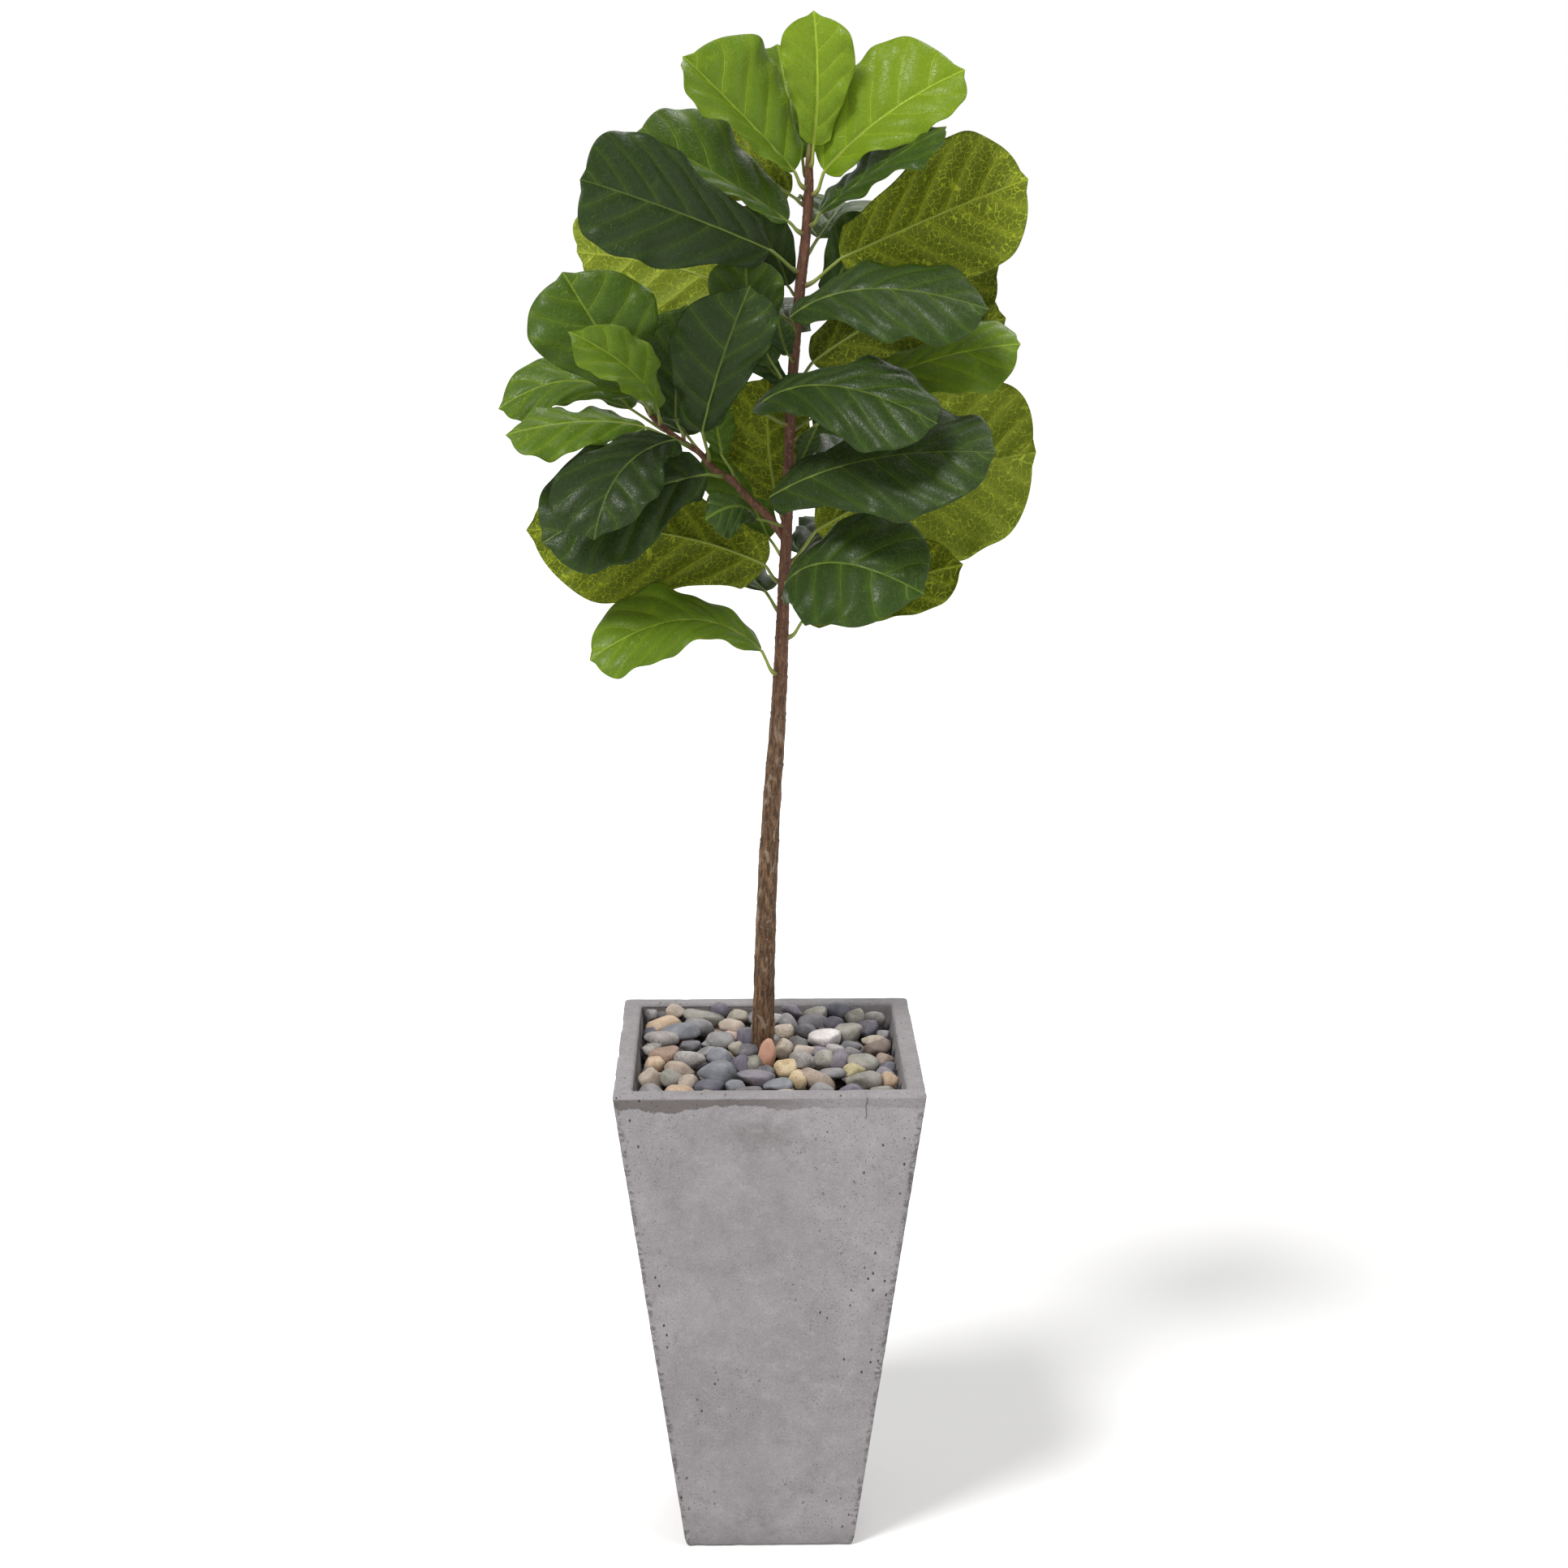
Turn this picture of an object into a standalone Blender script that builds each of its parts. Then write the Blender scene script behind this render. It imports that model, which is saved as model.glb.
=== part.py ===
"""A potted fiddle leaf fig: a young tree in a tapered square concrete planter, dressed with river pebbles.

The origin is the centre of the planter's underside, +Z is up, and the side that faces -Y is the front.
Lengths are in metres. The tables of the plant are in centimetres, which CM turns into metres.
"""

import math

import bmesh
import bpy
import numpy as np
from mathutils import Vector

CM = 0.01

# Planter: a tapered square shell with a flat rim.
PLANTER_TOP = 0.305
PLANTER_BOTTOM = 0.174
PLANTER_HEIGHT = 0.516
WALL = 0.0195
FLOOR = 0.022
EDGE_ROUNDING = 0.003
PAST_RIM = 0.02

# Fill: soil up to SOIL_TOP, then pebbles. GAP keeps each piece clear of the next.
SOIL_TOP = 0.476
GAP = 0.0003
PEBBLE_CELLS = 26
PEBBLE_LOW = 0.486
PEBBLE_DROP = 0.012

# Trunk and side branch: (x, y, z, diameter) along each centre line, in centimetres.
TRUNK_LINE = [
    (-0.4, 1.0, 40.0, 2.6), (-0.5, 1.0, 50.0, 2.35), (-0.3, 0.7, 60.0, 2.05), (0.2, 0.3, 73.0, 1.85),
    (1.2, 0.1, 88.0, 1.45), (1.6, 0.0, 98.0, 1.15), (2.0, 0.0, 107.0, 1.05), (2.2, 0.0, 114.0, 1.0),
    (2.7, 0.0, 122.0, 1.0), (3.3, 0.0, 128.6, 1.0), (3.8, 0.0, 133.0, 0.95), (4.0, 0.0, 137.0, 0.85),
    (4.0, 0.0, 139.4, 0.6), (4.05, 0.0, 141.0, 0.25),
]
BRANCH_LINE = [
    (1.8, 0.0, 103.2, 0.8), (0.2, 0.1, 105.4, 0.8), (-1.7, 0.2, 107.2, 0.75), (-3.4, 0.1, 109.0, 0.7),
    (-5.2, 0.0, 110.2, 0.65), (-6.6, 0.0, 111.8, 0.6), (-8.2, 0.0, 112.8, 0.6), (-10.0, 0.0, 114.2, 0.55),
    (-11.3, 0.0, 115.5, 0.45), (-11.9, 0.0, 116.6, 0.2),
]
STEM_RINGS = 40
STEM_SIDES = 10

# Leaf blades: thickness, the stalk's thickness, and the stations along and across one blade.
BLADE_THICKNESS = 0.0012
STALK_THICKNESS = 0.0032
BLADE_STATIONS = (0.0, 0.06, 0.2, 0.38, 0.56, 0.74, 0.9, 1.0)
BLADE_COLUMNS = 4
BROADEST = 0.66
NUB_WIDTH = 0.0012

# Outline of a blade: where its basal lobes end, its width at the base as a share of the broadest,
# and how fast it swells and how blunt its apex is.
LOBE_END = 0.07
BASE_SHARE = 0.42
SWELL = 1.2
BLUNTNESS = 2.6

# A stalk starts just off the bark, runs straight out, then turns to its blade.
STALK_CLEARANCE = 0.0006
ELBOW_REACH = 0.005
ELBOW_RISE = 0.001

# One leaf a row, in centimetres: the stem it grows on, the height (trunk) or fraction (branch) of its joint,
# the blade's base, middle of the midrib and tip, then the left and right margins at the broadest station,
# as seen with the upper side facing the viewer and the tip up.
LEAVES = {
    "crown_centre": ("trunk", 138.6, (4.4, -1.0, 140.6), (4.7, -2.0, 146.4), (4.4, -1.5, 152.2),
                     (1.3, -2.6, 148.3), (8.2, -2.4, 148.0)),
    "crown_left": ("trunk", 136.6, (2.6, -0.9, 138.2), (-1.9, -2.2, 142.9), (-7.4, -2.6, 148.2),
                   (-5.6, -6.2, 143.6), (0.2, 0.4, 149.0)),
    "crown_right": ("trunk", 136.0, (5.4, -0.8, 138.2), (10.9, -2.6, 143.2), (18.0, -1.8, 147.2),
                    (9.7, 0.4, 149.2), (15.0, -5.6, 141.9)),
    "crown_back": ("trunk", 137.6, (3.4, 1.2, 139.4), (2.2, 3.6, 144.4), (1.2, 6.6, 149.6),
                   (-2.8, 4.6, 146.4), (6.0, 5.2, 146.4)),
    "upper_left": ("trunk", 132.4, (2.0, -1.0, 133.6), (-4.9, -2.0, 138.0), (-11.9, -3.0, 141.4),
                   (-8.0, -5.6, 137.6), (-5.4, 2.0, 143.4)),
    "dark_left": ("trunk", 128.8, (0.3, -2.0, 131.0), (-8.0, -8.0, 134.5), (-16.5, -10.8, 137.4),
                  (-12.6, -12.4, 130.2), (-11.0, -7.2, 141.6)),
    "upper_right": ("trunk", 133.2, (5.0, -1.0, 134.4), (9.9, -4.2, 138.2), (16.0, -6.6, 142.0),
                    (9.6, 0.4, 140.2), (13.2, -8.6, 138.6)),
    "big_right": ("trunk", 127.6, (7.0, -0.6, 130.1), (15.0, -0.8, 133.7), (24.3, 0.2, 137.3),
                  (20.0, -2.6, 128.8), (16.2, 0.8, 140.9)),
    "back_left": ("trunk", 124.0, (-1.6, 4.0, 126.4), (-9.0, 6.4, 129.0), (-18.0, 8.0, 130.4),
                  (-14.4, 8.8, 134.6), (-12.4, 4.8, 123.8)),
    "behind_top": ("trunk", 135.0, (2.2, 1.8, 136.0), (-2.4, 4.8, 139.4), (-7.0, 7.8, 143.2),
                   (-1.6, 7.6, 143.8), (-6.4, 4.4, 136.6)),
    "mid_right": ("trunk", 123.2, (2.2, -3.2, 124.9), (9.4, -6.4, 127.6), (19.9, -9.4, 126.0),
                  (13.0, -3.4, 130.0), (12.2, -11.6, 123.0)),
    "behind_mid_right": ("trunk", 118.4, (4.4, 1.6, 120.2), (12.6, 4.4, 125.0), (22.2, 5.8, 129.0),
                         (17.8, 3.2, 121.8), (13.6, 6.8, 131.0)),
    "back_right": ("trunk", 116.0, (5.2, 3.6, 117.4), (13.8, 8.0, 120.6), (23.4, 9.8, 123.8),
                   (18.8, 7.6, 117.0), (15.8, 10.4, 126.6)),
    "olive_right": ("trunk", 113.0, (8.0, -1.0, 117.0), (15.0, -3.0, 120.6), (23.4, -4.0, 122.3),
                    (18.8, -0.8, 124.0), (19.0, -6.0, 117.9)),
    "centre_droop": ("trunk", 114.4, (-1.4, -3.2, 116.2), (5.4, -8.4, 118.9), (15.0, -13.4, 116.0),
                     (11.0, -7.2, 120.7), (7.4, -13.6, 114.2)),
    "low_right_droop": ("trunk", 106.2, (0.2, -2.8, 107.8), (9.2, -8.8, 112.0), (20.6, -11.2, 112.9),
                        (15.0, -5.0, 116.5), (12.4, -14.0, 107.4)),
    "big_low_right": ("trunk", 101.0, (4.8, 1.2, 104.0), (14.6, 2.2, 108.6), (25.8, 2.0, 111.4),
                      (20.2, 0.6, 101.6), (18.6, 5.2, 118.2)),
    "glossy_low_right": ("trunk", 97.6, (1.8, -2.8, 99.6), (6.6, -8.0, 102.2), (14.2, -11.2, 99.9),
                         (11.6, -5.6, 106.5), (4.4, -12.4, 96.8)),
    "behind_low_right": ("trunk", 93.6, (3.6, -0.6, 95.6), (10.4, -2.4, 98.8), (18.4, -3.2, 101.2),
                         (13.8, -4.2, 96.4), (11.6, -0.4, 102.8)),
    "lowest_left": ("trunk", 90.0, (-0.6, -1.8, 92.7), (-7.8, -5.0, 96.3), (-16.6, -8.0, 93.2),
                    (-10.6, -9.6, 93.0), (-11.4, -1.8, 98.8)),
    "big_low_left": ("trunk", 99.0, (-0.2, 1.0, 100.6), (-10.6, 2.6, 103.6), (-23.2, 3.6, 103.8),
                     (-12.8, 5.4, 109.6), (-14.4, 1.4, 96.9)),
    "quilted_left": ("branch", 0.93, (-12.4, -1.4, 117.6), (-15.4, -3.4, 122.8), (-19.0, -2.4, 128.6),
                     (-21.8, -4.6, 122.2), (-10.8, -2.6, 126.6)),
    "folded_left": ("branch", 0.86, (-10.4, -3.0, 116.2), (-12.8, -7.0, 120.2), (-17.9, -10.0, 123.7),
                    (-15.0, -11.4, 119.6), (-11.6, -5.4, 122.9)),
    "far_left": ("branch", 0.82, (-13.2, 1.8, 115.8), (-18.6, 3.2, 118.4), (-25.6, 2.4, 116.0),
                 (-21.4, 0.0, 115.2), (-20.2, 6.2, 120.6)),
    "pale_left": ("branch", 0.76, (-11.6, -2.0, 114.4), (-17.2, -4.2, 115.2), (-24.2, -6.0, 114.2),
                  (-19.4, -7.6, 112.2), (-19.6, -1.4, 116.2)),
    "centre_dark": ("branch", 0.56, (-6.2, -2.4, 114.0), (-4.4, -4.8, 120.6), (-1.8, -5.0, 127.4),
                    (-9.2, -5.2, 122.9), (0.4, -5.4, 122.4)),
    "behind_centre": ("trunk", 118.2, (0.6, -1.6, 120.2), (-1.4, -2.0, 125.0), (-2.0, -1.6, 130.2),
                      (-5.4, -1.4, 126.6), (1.6, -1.6, 127.4)),
    "front_low_left": ("branch", 0.68, (-8.8, -2.8, 113.3), (-13.6, -8.0, 111.1), (-16.1, -11.6, 105.4),
                       (-10.2, -10.2, 109.1), (-19.8, -9.4, 109.9)),
    "broad_low_left": ("branch", 0.46, (-5.8, -2.2, 109.9), (-12.8, -4.8, 108.2), (-21.0, -6.8, 104.2),
                       (-13.4, -8.6, 102.3), (-17.8, -1.8, 112.0)),
    "behind_low_centre": ("trunk", 105.0, (1.0, 1.8, 107.0), (0.2, 3.2, 112.0), (0.2, 5.4, 118.2),
                          (4.4, 3.8, 113.8), (-4.9, 3.6, 114.0)),
    "small_left": ("branch", 0.4, (-4.4, 1.2, 111.4), (-4.8, 1.8, 113.6), (-5.4, 2.4, 116.4),
                   (-6.8, 1.4, 114.4), (-3.0, 2.6, 114.4)),
    "small_right": ("trunk", 109.6, (3.2, -0.6, 110.8), (3.9, -1.0, 112.4), (4.6, -1.4, 114.0),
                    (2.9, -0.7, 113.0), (5.0, -1.6, 112.4)),
    "under_branch": ("trunk", 104.6, (-1.0, -2.4, 105.6), (-2.8, -4.8, 107.2), (-5.6, -6.8, 106.4),
                     (-3.4, -6.8, 104.6), (-4.6, -3.8, 108.4)),
    "small_front": ("trunk", 120.4, (2.0, -2.6, 121.2), (1.4, -3.4, 122.8), (1.0, -3.6, 124.8),
                    (-0.2, -3.4, 123.4), (2.6, -3.4, 123.2)),
    "inner_left": ("branch", 0.72, (-8.8, 1.6, 114.8), (-8.6, 2.0, 119.6), (-7.8, 3.0, 125.2),
                   (-12.2, 1.8, 121.6), (-4.6, 3.4, 121.4)),
    "inner_right": ("trunk", 113.8, (4.4, 2.0, 114.8), (8.2, 2.6, 116.0), (12.6, 2.8, 118.2),
                    (6.8, 2.0, 119.0), (10.4, 2.4, 112.8)),
    "inner_high": ("trunk", 126.5, (2.0, 1.8, 127.5), (0.5, 2.4, 131.0), (-2.5, 2.6, 134.5),
                   (-3.2, 2.4, 130.6), (1.8, 2.2, 133.8)),
    "inner_high_right": ("trunk", 124.8, (5.6, 1.6, 126.4), (7.8, 1.7, 130.0), (10.0, 1.8, 134.0),
                         (6.1, 1.6, 132.8), (10.9, 1.6, 130.0)),
    "inner_middle": ("trunk", 116.5, (1.6, 2.2, 118.2), (-0.6, 2.6, 120.6), (-2.8, 2.8, 123.0),
                     (-3.1, 2.6, 120.2), (0.2, 2.4, 122.2)),
    "inner_low": ("trunk", 101.5, (0.2, 3.0, 103.0), (-2.2, 4.8, 107.4), (-5.2, 6.2, 111.8),
                  (-5.8, 5.0, 107.2), (-0.4, 5.4, 110.6)),
    "rear_top": ("trunk", 130.4, (5.0, 2.4, 132.0), (7.4, 8.6, 134.8), (8.4, 16.4, 134.6),
                 (3.2, 11.4, 135.8), (12.2, 10.2, 134.8)),
    "rear_upper": ("trunk", 121.4, (2.4, 2.8, 123.0), (1.0, 9.4, 125.4), (-1.0, 18.2, 124.8),
                   (-5.6, 11.6, 125.8), (5.6, 12.6, 125.2)),
    "rear_right": ("trunk", 109.2, (5.2, 3.2, 110.4), (9.4, 10.4, 112.4), (12.4, 18.0, 111.2),
                   (5.6, 13.6, 113.2), (14.2, 9.8, 112.4)),
    "rear_left": ("branch", 0.6, (-7.8, 2.6, 113.2), (-10.8, 9.0, 116.4), (-14.4, 17.0, 116.2),
                  (-17.4, 10.0, 117.0), (-6.6, 12.8, 116.6)),
    "rear_low_right": ("trunk", 100.0, (3.2, 2.6, 101.6), (7.2, 9.2, 103.4), (10.2, 17.8, 101.4),
                       (3.6, 13.0, 103.4), (13.6, 10.2, 103.0)),
    "rear_low_left": ("trunk", 96.0, (-0.2, 2.8, 97.8), (-4.6, 9.2, 100.2), (-9.0, 17.4, 99.4),
                      (-12.0, 10.2, 100.6), (-1.4, 13.0, 100.4)),
}

# Pebbles of the bed: (x, y, z of the top, length along x, length along y), in centimetres.
BED_PEBBLES = [
    (-12.0, 11.6, 50.6, 2.2, 2.0), (-10.8, 9.6, 50.4, 4.0, 2.6), (-7.0, 11.4, 50.6, 4.4, 2.4),
    (-3.4, 11.8, 50.6, 2.6, 2.4), (2.4, 11.6, 50.9, 2.8, 2.6), (5.2, 11.4, 50.8, 3.0, 2.2),
    (8.0, 12.0, 50.9, 3.8, 1.8), (11.2, 11.0, 50.8, 3.0, 2.6), (-9.0, 6.6, 50.9, 4.4, 2.6),
    (-5.4, 8.6, 50.6, 3.2, 2.6), (-2.6, 5.6, 50.9, 2.2, 2.8), (2.2, 8.2, 50.8, 2.6, 3.0),
    (5.0, 8.6, 50.9, 3.2, 2.4), (8.4, 6.2, 51.1, 3.4, 3.0), (11.2, 7.4, 50.9, 2.6, 2.8),
    (-11.2, 3.6, 50.8, 3.0, 2.4), (-7.6, 3.2, 50.7, 3.0, 2.2), (-4.6, 3.4, 51.0, 3.2, 2.6),
    (2.2, 3.6, 51.1, 2.6, 2.6), (5.6, 3.6, 51.2, 3.6, 2.6), (8.8, 2.2, 50.8, 2.6, 2.4),
    (11.2, 2.8, 50.9, 3.0, 2.6), (-10.6, 0.2, 50.8, 3.4, 2.4), (-7.6, -1.6, 51.0, 3.4, 2.8),
    (-4.6, -0.8, 51.1, 3.0, 2.8), (-1.8, -2.0, 51.0, 2.6, 3.0), (0.2, -1.6, 51.3, 2.0, 3.0),
    (3.8, -0.6, 50.9, 3.2, 2.4), (6.8, -1.8, 51.0, 3.0, 2.6), (9.6, -2.2, 51.1, 3.4, 3.0),
    (-11.2, -3.2, 50.9, 2.6, 2.4), (-8.6, -4.8, 50.8, 3.4, 2.6), (-5.0, -6.0, 51.1, 4.4, 3.4),
    (-1.4, -5.8, 51.0, 3.8, 2.6), (1.6, -4.4, 51.2, 2.6, 2.8), (4.6, -4.6, 51.0, 3.6, 2.6),
    (8.0, -5.4, 50.9, 3.2, 2.4), (11.2, -5.2, 50.8, 2.6, 3.0), (-11.4, -7.4, 51.0, 3.0, 3.0),
    (-8.0, -8.2, 51.0, 3.0, 2.4), (-2.8, -9.4, 50.9, 3.4, 2.6), (0.8, -8.6, 51.0, 3.0, 2.6),
    (3.8, -7.8, 51.1, 3.8, 2.8), (8.0, -9.0, 51.1, 4.0, 3.0), (11.4, -9.0, 51.0, 2.6, 2.6),
    (-9.6, -11.4, 50.8, 3.4, 2.4), (-5.8, -11.2, 50.9, 3.6, 2.6), (-1.6, -11.8, 50.8, 3.2, 2.2),
    (2.4, -11.4, 50.9, 3.4, 2.4), (6.0, -11.8, 50.8, 3.0, 2.2), (9.4, -11.8, 50.8, 3.0, 2.2),
]


def clear_scene():
    for old in list(bpy.data.objects):
        bpy.data.objects.remove(old, do_unlink=True)


def collection(name):
    made = bpy.data.collections.new(name)
    bpy.context.scene.collection.children.link(made)
    return made


def material(name, colour, roughness):
    made = bpy.data.materials.new(name)
    made.use_nodes = True
    shader = made.node_tree.nodes["Principled BSDF"]
    shader.inputs["Base Color"].default_value = (*colour, 1.0)
    shader.inputs["Roughness"].default_value = roughness
    made.diffuse_color = (*colour, 1.0)
    return made


def mesh_object(name, mesh, into, look=None):
    made = bpy.data.objects.new(name, mesh)
    if look:
        mesh.materials.append(look)
    into.objects.link(made)
    return made


def cutter(made):
    made.hide_render = True
    made.display_type = "WIRE"


def modifier(thing, kind, **settings):
    made = thing.modifiers.new(kind.title(), kind)
    for key, value in settings.items():
        setattr(made, key, value)
    return made


def side_at(height):
    """Outer width of the planter at a height."""
    return PLANTER_BOTTOM + (PLANTER_TOP - PLANTER_BOTTOM) * height / PLANTER_HEIGHT


def tapered_block(name, low, high, inset, into, look=None):
    """A square block between two heights that follows the planter's taper, inset from its outside."""
    block = bmesh.new()
    bmesh.ops.create_cube(block, size=1.0)
    for corner in block.verts:
        height = high if corner.co.z > 0 else low
        width = side_at(height) - 2 * inset
        corner.co = (corner.co.x * width, corner.co.y * width, height)
    mesh = bpy.data.meshes.new(name)
    block.to_mesh(mesh)
    block.free()
    return mesh_object(name, mesh, into, look)


def smooth_line(points, count):
    """Evenly spread points of a smooth curve through the given ones, each with its radius, in metres."""
    given = np.array(points, float) * CM
    knots = np.concatenate([[0.0], np.cumsum(np.linalg.norm(np.diff(given[:, :3], axis=0), axis=1))])
    slopes = np.gradient(given, knots, axis=0)
    where = np.linspace(0.0, knots[-1], count)
    cell = np.clip(np.searchsorted(knots, where, side="right") - 1, 0, len(knots) - 2)
    span = knots[cell + 1] - knots[cell]
    t = ((where - knots[cell]) / span)[:, None]
    start = given[cell] * (2 * t**3 - 3 * t**2 + 1) + slopes[cell] * span[:, None] * (t**3 - 2 * t**2 + t)
    end = given[cell + 1] * (3 * t**2 - 2 * t**3) + slopes[cell + 1] * span[:, None] * (t**3 - t**2)
    line = start + end
    return [(Vector(row[:3]), row[3] / 2) for row in line]


def stem(name, line, into, look=None):
    """A round tapering rod along a line of points with radii, as a mesh."""
    curve = bpy.data.curves.new(name + "_line", "CURVE")
    curve.dimensions = "3D"
    curve.bevel_depth = 1.0
    curve.bevel_resolution = (STEM_SIDES - 4) // 2
    curve.use_fill_caps = True
    spline = curve.splines.new("POLY")
    spline.points.add(len(line) - 1)
    for point, (place, radius) in zip(spline.points, line):
        point.co = (*place, 1.0)
        point.radius = radius
    guide = bpy.data.objects.new(name + "_line", curve)
    into.objects.link(guide)
    graph = bpy.context.evaluated_depsgraph_get()
    mesh = bpy.data.meshes.new_from_object(guide.evaluated_get(graph))
    bpy.data.objects.remove(guide, do_unlink=True)
    bpy.data.curves.remove(curve)
    welded = bmesh.new()
    welded.from_mesh(mesh)
    bmesh.ops.remove_doubles(welded, verts=welded.verts, dist=0.00001)
    bmesh.ops.recalc_face_normals(welded, faces=welded.faces)
    welded.to_mesh(mesh)
    welded.free()
    mesh.shade_smooth()
    made = mesh_object(name, mesh, into, look)
    return made


def joint_on(line, where, by_height):
    """Centre, radius and direction of a stem at a height, or at a fraction of its length."""
    if by_height:
        index = next(i for i, (place, _) in enumerate(line) if place.z > where * CM)
        share = (where * CM - line[index - 1][0].z) / (line[index][0].z - line[index - 1][0].z)
    else:
        index = math.ceil(where * (len(line) - 1))
        share = where * (len(line) - 1) - (index - 1)
    (low, low_radius), (high, high_radius) = line[index - 1], line[index]
    return low.lerp(high, share), low_radius + (high_radius - low_radius) * share, (high - low).normalized()


def half_width(t):
    """Outline of a fiddle-shaped blade: small basal lobes, a slight waist and a broad round apex."""
    lobe = min(1.0, t / LOBE_END) ** 0.5
    swelling = math.sin(math.pi / 2 * min(1.0, t / BROADEST) ** SWELL) ** 2
    body = BASE_SHARE + (1.0 - BASE_SHARE) * swelling
    apex = 1.0
    if t > BROADEST:
        apex = max(0.0, 1.0 - ((t - BROADEST) / (1.0 - BROADEST)) ** BLUNTNESS) ** 0.5
    return lobe * body * apex


def blade_rows(base, middle, tip, left, right):
    """Rows of points across the blade, from its base to its tip, and the side direction at its base."""
    control = middle * 2 - (base + tip) / 2

    def midrib(t):
        return base * (1 - t) ** 2 + control * (2 * t * (1 - t)) + tip * t**2

    def direction(t):
        return ((control - base) * (1 - t) + (tip - control) * t).normalized()

    centre = midrib(BROADEST)
    arms = (left - centre, right - centre)
    rows = []
    for t in BLADE_STATIONS:
        turn = direction(BROADEST).rotation_difference(direction(t))
        share = half_width(t)
        across = []
        for column in range(BLADE_COLUMNS + 1):
            v = 2 * column / BLADE_COLUMNS - 1
            arm = turn @ arms[0 if v < 0 else 1]
            reach = max(share * arm.length, NUB_WIDTH)
            across.append(midrib(t) + arm.normalized() * (reach * abs(v)))
        rows.append(across)
    side = direction(BROADEST).rotation_difference(direction(0.0)) @ (right - left).normalized()
    return rows, side


def narrow_row(point, side):
    """A row of points as wide as the stalk is thick."""
    half = STALK_THICKNESS / 2
    return [point + side * (half * (2 * i / BLADE_COLUMNS - 1)) for i in range(BLADE_COLUMNS + 1)]


def stalk_rows(place, radius, along, base, side):
    """Rows of points of the stalk, from the stem's bark to the blade."""
    outward = base - place
    outward -= along * outward.dot(along)
    outward.normalize()
    start = place + outward * (radius + STALK_CLEARANCE)
    across = along.cross(outward).normalized()
    if across.dot(side) < 0:
        across.negate()
    elbow = start + outward * ELBOW_REACH + along * ELBOW_RISE
    rows = []
    for share, point in ((0.0, start), (0.2, elbow), (0.6, elbow.lerp(base, 0.5))):
        lean = across.lerp(side, share).normalized()
        rows.append(narrow_row(point, lean))
    return rows


def leaf(name, joint, base, middle, tip, left, right, into, look):
    """One leaf: a grid laid along the stalk and the blade, then thickened."""
    base, middle, tip, left, right = (Vector(p) * CM for p in (base, middle, tip, left, right))
    blade, side = blade_rows(base, middle, tip, left, right)
    blade[0] = narrow_row(base, side)
    stalk = stalk_rows(*joint, base, side)
    rows = stalk + blade
    sheet = bmesh.new()
    bmesh.ops.create_grid(sheet, x_segments=BLADE_COLUMNS, y_segments=len(rows) - 1, size=0.5)
    thick = sheet.verts.layers.deform.new()
    order = sorted(sheet.verts, key=lambda v: (round(v.co.y, 4), round(v.co.x, 4)))
    for i, vert in enumerate(order):
        row, column = divmod(i, BLADE_COLUMNS + 1)
        vert.co = rows[row][column]
        vert[thick][0] = 1.0 if row <= len(stalk) else 0.0
    mesh = bpy.data.meshes.new(name)
    sheet.to_mesh(mesh)
    sheet.free()
    mesh.shade_smooth()
    made = mesh_object(name, mesh, into, look)
    made.vertex_groups.new(name="stalk")
    modifier(made, "SOLIDIFY", thickness=STALK_THICKNESS, offset=0.0, vertex_group="stalk",
             thickness_vertex_group=BLADE_THICKNESS / STALK_THICKNESS)
    return made


def pebble_bed(into, look):
    """The pebble layer as one lumpy bed: its top is the highest pebble over each point of a grid."""
    low = SOIL_TOP + GAP
    cells = bmesh.new()
    bmesh.ops.create_grid(cells, x_segments=PEBBLE_CELLS, y_segments=PEBBLE_CELLS, size=0.5)
    for vert in cells.verts:
        spread = 2 * vert.co.xy
        x, y = spread * ((side_at(PEBBLE_LOW) / 2 - WALL - 2 * GAP) / CM)
        top = PEBBLE_LOW
        for px, py, pz, length, width in BED_PEBBLES:
            away = ((x - px) / length * 2) ** 2 + ((y - py) / width * 2) ** 2
            if away < 1:
                top = max(top, pz * CM - PEBBLE_DROP * (1 - math.sqrt(1 - away)))
        vert.co = (x * CM, y * CM, top)
    border = [edge for edge in cells.edges if edge.is_boundary]
    skirt = bmesh.ops.extrude_edge_only(cells, edges=border)["geom"]
    lowered = [item for item in skirt if isinstance(item, bmesh.types.BMVert)]
    shrink = (side_at(low) - 2 * WALL - 4 * GAP) / (side_at(PEBBLE_LOW) - 2 * WALL - 4 * GAP)
    for vert in lowered:
        vert.co = (vert.co.x * shrink, vert.co.y * shrink, low)
    bmesh.ops.contextual_create(cells, geom=[e for e in cells.edges if e.is_boundary])
    bmesh.ops.recalc_face_normals(cells, faces=cells.faces)
    mesh = bpy.data.meshes.new("river_pebbles")
    cells.to_mesh(mesh)
    cells.free()
    mesh.shade_smooth()
    return mesh_object("river_pebbles", mesh, into, look)


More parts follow.
